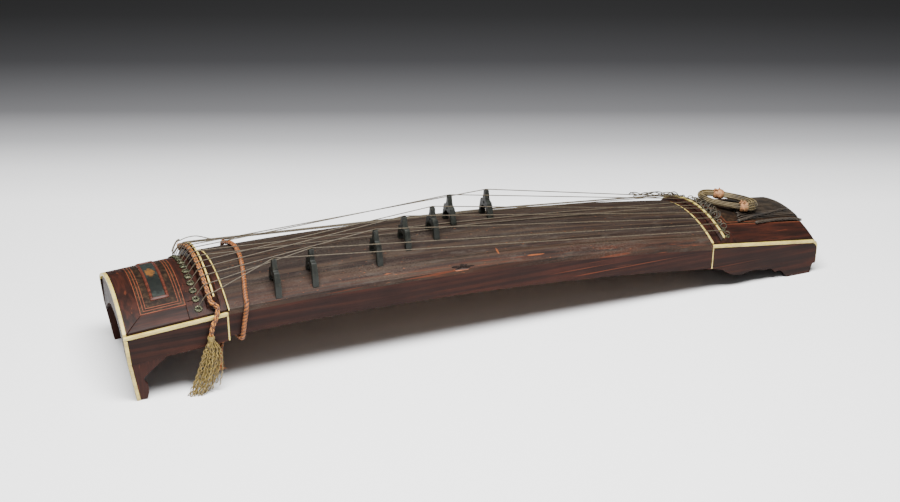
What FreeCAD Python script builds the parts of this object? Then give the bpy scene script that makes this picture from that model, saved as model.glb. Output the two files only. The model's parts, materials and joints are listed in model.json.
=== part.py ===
"""Guzheng: a half-tube table zither with an arched soundboard, movable bridges and silk strings.

Millimetres, +Z up. X runs from the head (-X) to the tail (+X), the player sits at -Y.
The origin is on the floor, in the middle of the instrument.
Lengthwise stations, written s, are measured from the head end; station() turns one into X.
"""
import FreeCAD, Part
import math
import os

V = FreeCAD.Vector

# ---- overall -------------------------------------------------------------------------------
overall_length = 1150.0
head_width = 222.0
tail_width = 0.9 * head_width
side_height = 41.5            # visible depth of the side boards
wall = 8.0                    # thickness of the side boards
glue_gap = 0.05               # between pieces that are glued or rest on one another
slide_gap = 0.3               # between a movable bridge and the board or its string

# ---- stations along the length --------------------------------------------------------------
head_block_end = 0.127 * overall_length
tail_block_start = 0.818 * overall_length
string_wrap = 1.5             # thickness of the strings led over the tail end
body_end = overall_length - string_wrap

# ---- heights of the long edges above the floor ----------------------------------------------
head_corner_z = 103.0
head_joint_z = head_corner_z + 11.2
board_head_z = head_corner_z + 16.5
board_mid_z = head_corner_z + 14.0
board_tail_z = head_corner_z - 20.0
tail_corner_z = head_corner_z - 45.0
tail_round = 12.0             # radius over which the top turns down at the tail end

# ---- crown of the arch over its own edges ----------------------------------------------------
head_rise = 0.153 * head_width
board_rise = 0.131 * head_width
tail_rise = 0.126 * head_width

# ---- boards ----------------------------------------------------------------------------------
board_thick = 8.0
head_thick = 7.0
base_thick = 6.0
base_recess = 2.0
cheek_thick = 10.0
edge_strip = 5.0              # section of the ivory edging
line_strip = 2.0              # width of the ivory cross lines
line_depth = 2.5

# ---- strings and what carries them -------------------------------------------------------------
string_count = 13
string_dia = 1.3
string_span = 0.854 * head_width
tail_string_span = 0.9 * string_span
string_bend = 6.0
string_drop = 11.0            # how far each end goes down inside its eyelet
eyelet_hole = 4.2
eyelet_s = 0.0935 * overall_length
head_eyelet_dia = 12.0
head_eyelet_thick = 1.6
tail_eyelet_s = tail_block_start + 37.0
tail_eyelet_dia = 9.0
nut_s = 0.1122 * overall_length
nut_height = 16.0
nut_cap = 3.0
nut_ledge = 10.0
nut_inset = 12.0              # from the sides, so that the cord can turn down past the end of the nut
tail_nut_s = tail_block_start + 24.0
tail_nut_height = 6.0

# ---- movable bridges: string number from the player's side, station, offset to the far side ------
bridge_height = 43.0
bridge_foot_span = 40.0
bridge_foot = 7.0
bridge_base_thick = 9.0
bridge_top_thick = 6.5
bridge_top_width = 7.0
bridge_travel = 15.0
BRIDGES = [
    (1, 0.191, 6.0),
    (2, 0.240, -3.5),
    (3, 0.330, -2.0),
    (4, 0.376, 4.5),
    (5, 0.421, 6.0),
    (8, 0.458, -3.0),
    (9, 0.516, -8.0),
]

SLACK_ASIDE = {7: 0.8}        # slack string 7 passes through the arch of bridge 8

# ---- cords --------------------------------------------------------------------------------------
cord_clear = 1.2              # between a cord and the curved wood it lies along
tassel_cord_dia = 7.5
body_cord_dia = 7.0
coil_dia = 14.0


def station(s):
    return s - overall_length / 2


def half_width(s):
    return (head_width + (tail_width - head_width) * s / overall_length) / 2


def arc_through(points, s):
    """Height at s of the circle through three (station, height) points."""
    (a, za), (b, zb), (c, zc) = points
    d = 2 * (a * (zb - zc) + b * (zc - za) + c * (za - zb))
    ka, kb, kc = a * a + za * za, b * b + zb * zb, c * c + zc * zc
    cs = (ka * (zb - zc) + kb * (zc - za) + kc * (za - zb)) / d
    cz = (ka * (c - b) + kb * (a - c) + kc * (b - a)) / d
    return cz + math.sqrt((a - cs) ** 2 + (za - cz) ** 2 - (s - cs) ** 2)


def head_edge(s):
    """Height of the head block's long edges."""
    return head_corner_z + (head_joint_z - head_corner_z) * s / head_block_end


def board_edge(s):
    """Height of the soundboard's long edges, a shallow arc from head to tail."""
    middle = (head_block_end + tail_block_start) / 2
    points = [(head_block_end, board_head_z), (middle, board_mid_z), (tail_block_start, board_tail_z)]
    return arc_through(points, s)


def tail_edge(s):
    """Height of the tail block's long edges, rounded down over the last few millimetres."""
    run = (s - tail_block_start) / (overall_length - tail_block_start)
    z = board_tail_z + (tail_corner_z - board_tail_z) * run
    past = min(s - (body_end - tail_round), tail_round)
    if past > 0:
        z -= tail_round - math.sqrt(tail_round ** 2 - past ** 2)
    return z


def crown(s, y, edge, rise):
    """Height of an arched top at station s and offset y."""
    half = half_width(s)
    radius = (half ** 2 + rise ** 2) / (2 * rise)
    return edge(s) + math.sqrt(radius ** 2 - y ** 2) - (radius - rise)


def top_z(s, y):
    """Height of the instrument's top surface."""
    if s < head_block_end:
        return crown(s, y, head_edge, head_rise)
    if s < tail_block_start:
        return crown(s, y, board_edge, board_rise)
    return crown(s, y, tail_edge, tail_rise)


def base_z(s):
    """Height of the lower edge of the side boards."""
    return board_edge(s) - side_height


def section(s, edge, rise, inset, upper, lower=None, floor=None):
    """Closed outline across the instrument: an arched top, and an arched or a flat underside."""
    half = half_width(s) - inset
    x = station(s)
    left = V(x, -half, crown(s, half, edge, rise) + upper)
    middle = V(x, 0, crown(s, 0, edge, rise) + upper)
    right = V(x, half, left.z)
    top = Part.Arc(left, middle, right).toShape()
    if floor is None:
        drop = V(0, 0, lower - upper)
        low_left, low_right = left + drop, right + drop
        under = Part.Arc(low_right, middle + drop, low_left).toShape()
    else:
        low_left, low_right = V(x, -half, floor), V(x, half, floor)
        under = Part.makeLine(low_right, low_left)
    return Part.Wire([top, Part.makeLine(right, low_right), under, Part.makeLine(low_left, left)])


def arched(stations, edge, rise, inset, upper, lower):
    """Arched board of even depth through the given stations."""
    wires = [section(s, edge, rise, inset, upper, lower=lower) for s in stations]
    return Part.makeLoft(wires, True, len(stations) == 2)


def spread(start, end, count):
    return [start + (end - start) * i / (count - 1) for i in range(count)]


def tail_stations(start):
    """Stations to the tail end, close together where the top turns down."""
    turn = [body_end - tail_round + tail_round * math.sin(math.radians(a)) for a in (0, 25, 50, 70, 84)]
    return [start] + turn


def tail_arched(start, inset, upper, lower):
    wires = [section(s, tail_edge, tail_rise, inset, upper, lower=lower) for s in tail_stations(start)]
    return Part.makeLoft(wires, True, True)


def prism(points, low=-20.0, high=400.0):
    """Upright prism over a plan outline of (station, y) points."""
    corners = [V(station(s), y, low) for s, y in points]
    face = Part.Face(Part.makePolygon(corners + corners[:1]))
    return face.extrude(V(0, 0, high - low))


def plan_box(s0, s1, y0, y1):
    return prism([(s0, y0), (s1, y0), (s1, y1), (s0, y1)])


def plan_strip(s0, s1, outer, inner, side):
    """Upright prism along one tapering long side, between two insets from that side."""
    points = [
        (s0, side * (half_width(s0) - outer)),
        (s1, side * (half_width(s1) - outer)),
        (s1, side * (half_width(s1) - inner)),
        (s0, side * (half_width(s0) - inner)),
    ]
    return prism(points)


def plan_inside(s0, s1, inset):
    """Upright prism over the whole width, less an inset at both sides."""
    a, b = half_width(s0) - inset, half_width(s1) - inset
    return prism([(s0, -a), (s1, -b), (s1, b), (s0, a)])


def side_prism(edges):
    """Slab across the whole width from an outline drawn in the side view."""
    face = Part.Face(Part.Wire(Part.__sortEdges__(edges)))
    return face.extrude(V(0, 2 * head_width, 0))


def side_point(s, z):
    return V(station(s), -head_width, z)


def side_line(a, b):
    return Part.makeLine(side_point(*a), side_point(*b))


def side_arc(a, b, c):
    return Part.Arc(side_point(*a), side_point(*b), side_point(*c)).toShape()


def side_outline(points):
    """Edges of a closed outline; a point given as (s, z, 'via') is the middle of an arc."""
    edges = []
    i = 0
    count = len(points)
    while i < count:
        here, after = points[i], points[(i + 1) % count]
        if len(after) == 3:
            end = points[(i + 2) % count]
            edges.append(side_arc(here[:2], after[:2], end[:2]))
            i += 2
        else:
            edges.append(side_line(here[:2], after[:2]))
            i += 1
    return edges


def along(function, s0, s1, shift):
    """The edge line of function from s0 to s1 as an arc, moved up by shift."""
    middle = (s0 + s1) / 2
    return side_arc((s0, function(s0) + shift), (middle, function(middle) + shift), (s1, function(s1) + shift))


def string_y(number, span):
    return -span / 2 + span * (number - 1) / (string_count - 1)


# ---- soundbox -------------------------------------------------------------------------------------

def cross_line(s0, s1, edge, rise, inset, depth):
    """Thin strip of ivory let into the top, straight across the arch."""
    return arched([s0, s1], edge, rise, inset, 0, -depth)


def soundboard():
    board = arched(spread(head_block_end + glue_gap, tail_block_start, 9), board_edge, board_rise, 0, 0, -board_thick)
    end = head_block_end + line_strip
    return board.cut(plan_box(head_block_end - 1, end, -head_width, head_width).common(
        arched([head_block_end - 1, end + 1], board_edge, board_rise, -5, 5, -line_depth)))


def soundboard_head_line():
    return cross_line(head_block_end + glue_gap, head_block_end + line_strip - glue_gap,
                      board_edge, board_rise, 0, line_depth - glue_gap)


def side_board(side):
    """Rosewood side, from the head block to the tail block."""
    s0, s1 = head_block_end + glue_gap, tail_block_start - glue_gap
    top = along(board_edge, s0, s1, -board_thick - glue_gap)
    bottom = along(board_edge, s0, s1, -side_height)
    ends = [side_line((s, board_edge(s) - board_thick - glue_gap), (s, base_z(s))) for s in (s0, s1)]
    return side_prism([top, bottom] + ends).common(plan_strip(s0, s1, 0, wall, side))


def base_board():
    """Bottom board between the sides, with two sound holes."""
    s0, s1 = head_block_end + glue_gap, tail_block_start - glue_gap
    low, high = base_recess, base_recess + base_thick
    top = along(base_z, s0, s1, high)
    bottom = along(base_z, s0, s1, low)
    ends = [side_line((s, base_z(s) + low), (s, base_z(s) + high)) for s in (s0, s1)]
    board = side_prism([top, bottom] + ends).common(plan_inside(s0, s1, wall + glue_gap))
    for share, length in ((0.24, 0.10), (0.72, 0.07)):
        board = board.cut(sound_hole(overall_length * share, overall_length * length))
    return board


def sound_hole(s, length):
    """Long hole with round ends."""
    radius = 0.1 * head_width
    slot = Part.makeBox(length - 2 * radius, 2 * radius, 400, V(station(s) - length / 2 + radius, -radius, 0))
    for x in (-1, 1):
        slot = slot.fuse(Part.makeCylinder(radius, 400, V(station(s) + x * (length / 2 - radius), 0, 0)))
    return slot


def inner_wall(s0, s1, edge, rise, inset, under, floor):
    """Upright board across the inside, its top fitted to the underside of the arched top."""
    wires = [section(s, edge, rise, inset, -under - glue_gap, floor=floor(s)) for s in (s0, s1)]
    return Part.makeLoft(wires, True, True)


def braces():
    """Three cross braces, each with a passage cut through its middle."""
    made = []
    for share in (0.32, 0.50, 0.66):
        s = overall_length * share
        floor = lambda t: base_z(t) + base_recess + base_thick + glue_gap
        brace = inner_wall(s - 5, s + 5, board_edge, board_rise, wall + glue_gap, board_thick, floor)
        passage = Part.makeCylinder(0.16 * side_height + 8, 40, V(station(s) - 20, 0, floor(s) + 16), V(1, 0, 0))
        made.append(brace.cut(passage))
    return Part.makeCompound(made)


def end_blocks():
    """Solid walls that close the soundbox towards the head and towards the tail."""
    head_floor = lambda s: head_edge(s) - side_height - 1.4
    head = inner_wall(head_block_end - 12, head_block_end - glue_gap, head_edge, head_rise,
                      cheek_thick + glue_gap, head_thick, head_floor)
    tail_floor = lambda s: board_tail_z - side_height
    tail = inner_wall(tail_block_start + glue_gap, tail_block_start + 12, tail_edge, tail_rise,
                      cheek_thick + glue_gap, head_thick, tail_floor)
    return Part.makeCompound([head, tail])


# ---- head block -----------------------------------------------------------------------------------

panel_s0 = 0.0255 * overall_length
panel_s1 = 0.0803 * overall_length
panel_half = 0.378 * head_width
leg_lean = 8.0
leg_width = 17.0
foot_inset = 6.5


def leg_z():
    return head_corner_z - side_height - 1.4


def leg_top_s():
    return 2.4


def cheek_bottom(s):
    return head_edge(s) - side_height - 1.4


def head_cheek_outline():
    """Side view of the head's side board."""
    end = head_block_end - glue_gap
    return side_outline([
        (0.0, head_edge(0) - edge_strip),
        (leg_top_s(), cheek_bottom(leg_top_s())),
        (end, cheek_bottom(end)),
        (end, head_edge(end) - edge_strip),
    ])


def leg_outline():
    """Side view of a head leg: a slanting foot under a scrolled bracket."""
    z = leg_z()
    foot = leg_top_s() + leg_lean
    inner = foot + leg_width
    return side_outline([
        (leg_top_s(), cheek_bottom(leg_top_s()) - glue_gap),
        (foot, 0.0),
        (inner - 2.5, 0.0),
        (inner, 0.16 * z, "via"),
        (inner - 0.6, 0.42 * z),
        (inner - 4.6, 0.52 * z, "via"),
        (inner - 3.4, 0.62 * z),
        (inner + 9.0, 0.80 * z, "via"),
        (inner + 30.0, cheek_bottom(inner + 30.0) - glue_gap),
    ])


def lean_in(shape, side, pivot_z):
    """Lean a leg inwards towards its foot, keeping its levels."""
    slope = side * foot_inset / pivot_z
    lean = FreeCAD.Matrix(1, 0, 0, 0, 0, 1, slope, -slope * pivot_z, 0, 0, 1, 0, 0, 0, 0, 1)
    return shape.transformGeometry(lean)


def strip_outline(low_s, low, top_s, top, width, spare):
    """Side view of a strip that follows an outer edge from (low_s, low) up to (top_s, top)."""
    return side_outline([
        (top_s - spare, top), (low_s - spare, low), (low_s + width, low), (top_s + width, top),
    ])


def cheek_corner(width, spare):
    top = head_edge(0) - edge_strip
    return side_prism(strip_outline(leg_top_s(), cheek_bottom(leg_top_s()), 0.0, top, width, spare))


def leg_corner(width, spare, above=-glue_gap):
    """Prism along the leg's outer corner, from the floor to a height above the leg's top."""
    low_s = leg_top_s() + leg_lean
    top_s = leg_top_s() - leg_lean * above / leg_z()
    return side_prism(strip_outline(low_s, 0.0, top_s, leg_z() + above, width, spare))


strip_deep = 3.0
joint_strip = 2.6
leg_set_back = 1.0


def head_cheek(side):
    cheek = side_prism(head_cheek_outline()).common(plan_strip(-5, head_block_end, 0, cheek_thick, side))
    corner = cheek_corner(edge_strip, 1.0).common(plan_strip(-5, 60, -5, strip_deep, side))
    joint = plan_strip(head_block_end - joint_strip, head_block_end + 1, -5, strip_deep, side)
    return cheek.cut(corner).cut(joint)


def head_legs():
    """Two bracketed legs under the head's side boards."""
    made = []
    for side in (-1, 1):
        leg = side_prism(leg_outline()).common(plan_strip(-5, head_block_end, leg_set_back, cheek_thick, side))
        corner = leg_corner(edge_strip, 1.5, 2.0).common(plan_strip(-5, 60, -5, strip_deep, side))
        made.append(lean_in(leg.cut(corner), side, leg_z()))
    return Part.makeCompound(made)


def head_leg_strips():
    """Ivory down the outer corner of the head's sides and legs."""
    made = []
    thin = edge_strip - glue_gap
    for side in (-1, 1):
        face = plan_strip(-5, 60, 0, strip_deep - glue_gap, side)
        made.append(cheek_corner(thin, 0.0).common(face))
        made.append(lean_in(leg_corner(thin, 0.0).common(face), side, leg_z()))
    return Part.makeCompound(made)


def head_joint_strips():
    """Upright ivory strips where the head's sides meet the long side boards."""
    made = []
    s0, s1 = head_block_end - joint_strip + glue_gap, head_block_end - glue_gap
    for side in (-1, 1):
        outline = side_outline([
            (s0, cheek_bottom(s0)), (s1, cheek_bottom(s1)),
            (s1, head_edge(s1) - edge_strip - glue_gap), (s0, head_edge(s0) - edge_strip - glue_gap),
        ])
        made.append(side_prism(outline).common(plan_strip(s0, s1, 0, strip_deep - glue_gap, side)))
    return Part.makeCompound(made)


def head_edge_strips():
    """Ivory edging along both long edges of the head."""
    made = []
    s0, s1 = 0.0, head_block_end - glue_gap
    for side in (-1, 1):
        outline = side_outline([
            (s0, head_edge(s0) - edge_strip + glue_gap), (s1, head_edge(s1) - edge_strip + glue_gap),
            (s1, head_edge(s1)), (s0, head_edge(s0)),
        ])
        strip = side_prism(outline).common(plan_strip(s0, s1, 0, edge_strip - glue_gap, side))
        made.append(strip)
    return Part.makeCompound(made)


def head_shell(s0, s1):
    return arched([s0, s1], head_edge, head_rise, edge_strip + glue_gap, 0, -head_thick)


def head_end_strip():
    """Ivory edging along the arch of the head end."""
    return arched([0, edge_strip - glue_gap], head_edge, head_rise, edge_strip + glue_gap, 0, -edge_strip)


def head_end_border():
    inner = half_width(0) - edge_strip
    cut = prism([
        (edge_strip, -inner), (panel_s0 - glue_gap, -panel_half), (panel_s0 - glue_gap, panel_half),
        (edge_strip, inner),
    ])
    return head_shell(edge_strip, head_block_end).common(cut)


def head_long_border(side):
    """Border along the panel, mitred into the end border."""
    inner = side * (half_width(0) - edge_strip)
    cut = prism([
        (edge_strip + 2 * glue_gap, inner + side), (panel_s0, side * (panel_half + glue_gap)),
        (panel_s1 - glue_gap, side * (panel_half + glue_gap)), (panel_s1 - glue_gap, inner + side),
    ])
    return head_shell(edge_strip, head_block_end).common(cut)


def eyelet_positions(s, span):
    return [(s, string_y(n + 1, span)) for n in range(string_count)]


def drill(shape, positions, diameter):
    for s, y in positions:
        shape = shape.cut(Part.makeCylinder(diameter / 2, 400, V(station(s), y, 0)))
    return shape


def eyelet_board():
    """Wide board between the panel and the soundboard, drilled for the strings."""
    board = head_shell(panel_s1, head_block_end - glue_gap)
    return drill(board, eyelet_positions(eyelet_s, string_span), eyelet_hole)


inlay_offsets = (0.0, 4.4, 8.2)
inlay_width = 1.1
inlay_depth = 1.0
plaque_s0 = panel_s0 + 0.29 * (panel_s1 - panel_s0)
plaque_s1 = panel_s0 + 0.71 * (panel_s1 - panel_s0)
plaque_half = 0.29 * head_width
frame_width = 4.5
frame_high = 2.5


def ring(offset, width):
    """Rectangular ring on the panel, a fixed distance in from its edge."""
    a, b = panel_s0 + offset, panel_s1 - offset
    outer = plan_box(a, b, -panel_half + offset, panel_half - offset)
    return outer.cut(plan_box(a + width, b - width, -panel_half + offset + width, panel_half - offset - width))


def head_panel():
    panel = head_shell(panel_s0, panel_s1).common(plan_box(panel_s0, panel_s1, -panel_half, panel_half))
    for offset in inlay_offsets:
        groove = arched([panel_s0, panel_s1], head_edge, head_rise, 0, 5, -inlay_depth)
        panel = panel.cut(groove.common(ring(offset, inlay_width)))
    seat = arched([panel_s0, panel_s1], head_edge, head_rise, 0, 5, -2.0)
    return panel.cut(seat.common(plan_box(plaque_s0, plaque_s1, -plaque_half, plaque_half)))


def head_inlay():
    """Three thin inlaid lines round the head panel."""
    made = []
    for offset in inlay_offsets:
        layer = arched([panel_s0, panel_s1], head_edge, head_rise, 0, 0.1, glue_gap - inlay_depth)
        made.append(layer.common(ring(offset + glue_gap, inlay_width - 2 * glue_gap)))
    return Part.makeCompound(made)


def plaque_frame():
    """Low moulded frame let into the panel."""
    bar = arched([plaque_s0, plaque_s1], head_edge, head_rise, 0, frame_high, glue_gap - 2.0)
    gap = glue_gap
    outer = plan_box(plaque_s0 + gap, plaque_s1 - gap, gap - plaque_half, plaque_half - gap)
    inner = plan_box(plaque_s0 + frame_width, plaque_s1 - frame_width,
                     frame_width - plaque_half, plaque_half - frame_width)
    return bar.common(outer).cut(inner)


def plaque():
    bar = arched([plaque_s0, plaque_s1], head_edge, head_rise, 0, 0.6, glue_gap - 2.0)
    inset = frame_width + glue_gap
    return bar.common(plan_box(plaque_s0 + inset, plaque_s1 - inset, inset - plaque_half, plaque_half - inset))


def head_end_board():
    """Board across the head end, arched out below between the legs."""
    s0, s1 = 3.0, 13.0
    floor = lambda s: leg_z() + glue_gap
    board = inner_wall(s0, s1, head_edge, head_rise, cheek_thick + glue_gap, head_thick, floor)
    half = half_width(0) - cheek_thick - 14
    low = leg_z() - 2.0
    high = head_corner_z - 8.0
    points = [V(station(-5), -half, low), V(station(-5), 0, high), V(station(-5), half, low)]
    opening = Part.Wire([Part.Arc(*points).toShape(), Part.makeLine(points[2], points[0])])
    return board.cut(Part.Face(opening).extrude(V(40, 0, 0)))


def head_nut():
    """Bar that lifts the strings at the head, with a ledge for the cord on its head side."""
    steps = [(-10.5, 5.0), (-9.0, nut_ledge), (-1.8, nut_ledge), (-1.6, nut_height), (2.6, nut_height), (8.5, 3.0)]
    inset = nut_inset
    wires = [section(nut_s + ds, head_edge, head_rise, inset, up, lower=glue_gap) for ds, up in steps]
    return Part.makeLoft(wires, True, True)


def head_nut_cap():
    return arched([nut_s - 1.0, nut_s + 1.5], head_edge, head_rise, nut_inset,
                  nut_height + nut_cap, nut_height + glue_gap)


def eyelet(s, y, edge, rise, diameter, thick):
    """Flower-shaped metal rosette with a round hole, lying on the arched top."""
    slope_s = crown(s + 0.5, y, edge, rise) - crown(s - 0.5, y, edge, rise)
    slope_y = crown(s, y + 0.5, edge, rise) - crown(s, y - 0.5, edge, rise)
    normal = V(-slope_s, -slope_y, 1).normalize()
    petals = None
    for i in range(8):
        turn = 2 * math.pi * i / 8
        at = V(math.cos(turn), math.sin(turn), 0) * (diameter * 0.34)
        petal = Part.makeCylinder(diameter * 0.16, thick, at)
        petals = petal if petals is None else petals.fuse(petal)
    disc = petals.fuse(Part.makeCylinder(diameter * 0.36, thick))
    collar = Part.makeCone(diameter * 0.27, diameter * 0.23, thick * 0.6, V(0, 0, thick))
    disc = disc.fuse(collar).removeSplitter()
    disc = disc.cut(Part.makeCylinder(eyelet_hole / 2, 20, V(0, 0, -5)))
    sag = glue_gap
    disc.Placement = FreeCAD.Placement(V(station(s), y, crown(s, y, edge, rise)) + normal * sag,
                                       FreeCAD.Rotation(V(0, 0, 1), normal))
    return disc


def head_eyelets():
    return Part.makeCompound([eyelet(s, y, head_edge, head_rise, head_eyelet_dia, head_eyelet_thick)
                              for s, y in eyelet_positions(eyelet_s, string_span)])


# ---- tail block ------------------------------------------------------------------------------------

tail_panel_half = 0.30 * tail_width
tail_panel_s = tail_block_start + 48.0
tail_inlay_offsets = (0.0, 5.5)


def tail_cheek_outline():
    """Side view of the tail's side board with its lobed apron and foot."""
    s, z = tail_block_start + glue_gap, board_tail_z - side_height
    end = body_end
    length = end - s
    top = tail_edge(end - tail_round) - edge_strip
    return side_outline([
        (s, board_tail_z - edge_strip),
        (s, z),
        (s + 0.11 * length, 0.86 * z),
        (s + 0.19 * length, 0.60 * z, "via"),
        (s + 0.31 * length, 0.50 * z),
        (s + 0.41 * length, 0.58 * z, "via"),
        (s + 0.52 * length, 0.48 * z),
        (s + 0.565 * length, 0.50 * z, "via"),
        (s + 0.615 * length, 0.30 * z),
        (s + 0.65 * length, 0.36 * z, "via"),
        (s + 0.69 * length, 0.24 * z),
        (s + 0.74 * length, 0.0),
        (s + 0.955 * length, 0.0),
        (s + 0.975 * length, 0.40 * z),
        (end, 0.40 * z),
        (end, top - tail_round),
        (end - 0.30 * tail_round, top - 0.30 * tail_round, "via"),
        (end - tail_round, top),
    ])


def tail_cheek(side):
    cheek = side_prism(tail_cheek_outline()).common(plan_strip(tail_block_start, body_end, 0, cheek_thick, side))
    joint = plan_strip(tail_block_start - 1, tail_block_start + joint_strip, -5, strip_deep, side)
    return cheek.cut(joint)


def tail_edge_strips():
    """Ivory edging along both long edges of the tail, bent down round the end corner."""
    made = []
    s, end = tail_block_start + glue_gap, body_end
    bend = end - tail_round
    top = tail_edge(bend)
    low = top - edge_strip + glue_gap
    foot = 0.45 * (board_tail_z - side_height)
    outline = side_outline([
        (s, board_tail_z), (s, board_tail_z - edge_strip + glue_gap), (bend, low),
        (end - 0.30 * tail_round, low - 0.30 * tail_round, "via"), (end + glue_gap, low - tail_round),
        (end + glue_gap, foot), (end + 1.2, foot), (end + 1.2, top - tail_round - 1.0),
        (end - 0.22 * tail_round, top - 0.26 * tail_round, "via"), (bend, top),
    ])
    for side in (-1, 1):
        strip = side_prism(outline)
        made.append(strip.common(plan_strip(s, end + 2, 0, edge_strip - glue_gap, side)))
    return Part.makeCompound(made)


def tail_joint_strips():
    made = []
    s0, s1 = tail_block_start + glue_gap, tail_block_start + joint_strip - glue_gap
    z = board_tail_z - side_height
    outline = side_outline([
        (s0, z), (s1, z), (s1, tail_edge(s1) - edge_strip - 2 * glue_gap),
        (s0, tail_edge(s0) - edge_strip - 2 * glue_gap),
    ])
    for side in (-1, 1):
        made.append(side_prism(outline).common(plan_strip(s0, s1, 0, strip_deep - glue_gap, side)))
    return Part.makeCompound(made)


def tail_shell():
    return tail_arched(tail_block_start + glue_gap, edge_strip + glue_gap, 0, -head_thick)


def tail_head_line():
    """Ivory line across the joint between soundboard and tail."""
    return cross_line(tail_block_start + glue_gap, tail_block_start + 4.5, tail_edge, tail_rise,
                      edge_strip + glue_gap, line_depth)


def tail_cross_board():
    """Board across the head side of the tail block, drilled for the strings."""
    start = tail_block_start
    board = tail_shell().common(plan_box(start, tail_panel_s - glue_gap, -head_width, head_width))
    groove = plan_box(start - 1, start + 4.5 + glue_gap, -head_width, head_width)
    groove = groove.common(arched([start, start + 20], tail_edge, tail_rise, -5, 5, -line_depth - glue_gap))
    return drill(board.cut(groove), eyelet_positions(tail_eyelet_s, tail_string_span), eyelet_hole)


def tail_long_borders():
    made = []
    for side in (-1, 1):
        y0, y1 = sorted((side * (tail_panel_half + glue_gap), side * head_width))
        made.append(tail_shell().common(plan_box(tail_panel_s, overall_length, y0, y1)))
    return Part.makeCompound(made)


def tail_line(offset, width):
    """Inlaid line along both sides of the tail panel and across its head end."""
    s, half = tail_panel_s + offset, tail_panel_half - offset
    outer = plan_box(s, overall_length + 5, -half, half)
    return outer.cut(plan_box(s + width, overall_length + 6, width - half, half - width))


def tail_panel():
    panel = tail_shell().common(plan_box(tail_panel_s, overall_length, -tail_panel_half, tail_panel_half))
    for offset in tail_inlay_offsets:
        groove = tail_arched(tail_panel_s - 1, 0, 5, -inlay_depth)
        panel = panel.cut(groove.common(tail_line(offset, inlay_width)))
    return panel


def tail_inlay():
    made = []
    for offset in tail_inlay_offsets:
        layer = tail_arched(tail_panel_s, 0, 0.1, glue_gap - inlay_depth)
        made.append(layer.common(tail_line(offset + glue_gap, inlay_width - 2 * glue_gap)))
    return Part.makeCompound(made)


def tail_end_board():
    """Board that closes the tail end below the rounded top."""
    s0, s1 = body_end - 14.0, body_end - 4.0
    stations = [s0, s0 + 4, s0 + 7, s1]
    floor = 0.45 * (board_tail_z - side_height)
    wires = [section(s, tail_edge, tail_rise, cheek_thick + glue_gap, -head_thick - 0.6, floor=floor)
             for s in stations]
    return Part.makeLoft(wires, True, True)


def tail_nut():
    steps = [(-6.0, 2.5), (-2.4, tail_nut_height), (2.4, tail_nut_height), (6.0, 2.5)]
    inset = edge_strip + 1.0
    wires = [section(tail_nut_s + ds, tail_edge, tail_rise, inset, up, lower=glue_gap) for ds, up in steps]
    return Part.makeLoft(wires, True, True)


def tail_nut_cap():
    return arched([tail_nut_s - 1.8, tail_nut_s + 1.8], tail_edge, tail_rise, edge_strip + 1.0,
                  tail_nut_height + nut_cap, tail_nut_height + glue_gap)


def tail_eyelets():
    return Part.makeCompound([eyelet(s, y, tail_edge, tail_rise, tail_eyelet_dia, 1.2)
                              for s, y in eyelet_positions(tail_eyelet_s, tail_string_span)])


# ---- strings and cords -------------------------------------------------------------------------------

def rounded_wire(points, radius=None):
    """Straight runs joined by tangent arcs; without a radius each arc fills most of its runs."""
    edges = []
    start = points[0]
    for before, corner, after in zip(points, points[1:], points[2:]):
        back, on = before - corner, after - corner
        turn = math.pi - back.getAngle(on)
        if turn < math.radians(0.6):
            edges.append(Part.makeLine(start, corner))
            start = corner
            continue
        reach = 0.45 * min(back.Length, on.Length)
        if radius is not None:
            reach = min(reach, radius * math.tan(turn / 2))
        a = corner + V(back).normalize() * reach
        b = corner + V(on).normalize() * reach
        bend = reach / math.tan(turn / 2)
        centre_way = (V(back).normalize() + V(on).normalize()).normalize()
        middle = corner + centre_way * (bend / math.cos(turn / 2) - bend)
        edges.append(Part.makeLine(start, a))
        edges.append(Part.Arc(a, middle, b).toShape())
        start = b
    edges.append(Part.makeLine(start, points[-1]))
    return Part.Wire(edges)


def tube(points, diameter, radius=None):
    """Round cord swept along a rounded path."""
    wire = rounded_wire(points, radius)
    first = points[1] - points[0]
    ring_wire = Part.Wire([Part.makeCircle(diameter / 2, points[0], first)])
    return wire.makePipeShell([ring_wire], True, True)


def string_path(number, bridge=None):
    """Points of one string: eyelet, nut, its bridge or the soundboard, tail nut, eyelet."""
    r = string_dia / 2
    head_y, tail_y = string_y(number, string_span), string_y(number, tail_string_span)

    def at(s, lift, y=None):
        if y is None:
            y = head_y + (tail_y - head_y) * (s - nut_s) / (tail_nut_s - nut_s)
        return V(station(s), y, top_z(s, y) + lift)

    cord_top = nut_ledge + cord_clear + tassel_cord_dia + 0.4 + r
    points = [at(eyelet_s, -string_drop, head_y), at(eyelet_s, 4.2, head_y), at(nut_s - 8.5, cord_top, head_y)]
    points.append(at(nut_s + 0.4, nut_height + nut_cap + glue_gap + r + 0.35, head_y))
    if bridge:
        share, aside = bridge
        s = share * overall_length
        peak = at(s, 0)
        y = peak.y + aside
        points.append(V(peak.x, y, top_z(s, y) + slide_gap + bridge_height + slide_gap + r + 1.0))
    else:
        aside = V(0, SLACK_ASIDE.get(number, 0.0), 0)
        points += [at(s, 1.2 + r) + aside for s in resting_stations()]
    points.append(at(tail_nut_s, tail_nut_height + nut_cap + glue_gap + r + 1.4, tail_y))
    points += [at(tail_eyelet_s, 2.6, tail_y), at(tail_eyelet_s, -string_drop, tail_y)]
    return points


def resting_stations():
    """Where a string without a bridge lies along the soundboard."""
    return spread(0.42 * overall_length, 0.62 * overall_length, 4)


def string(number, bridge=None):
    return tube(string_path(number, bridge), string_dia, string_bend * 0.6)


def slack_strings():
    carried = [n for n, share, aside in BRIDGES]
    return Part.makeCompound([string(n) for n in range(1, string_count + 1) if n not in carried])


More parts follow.
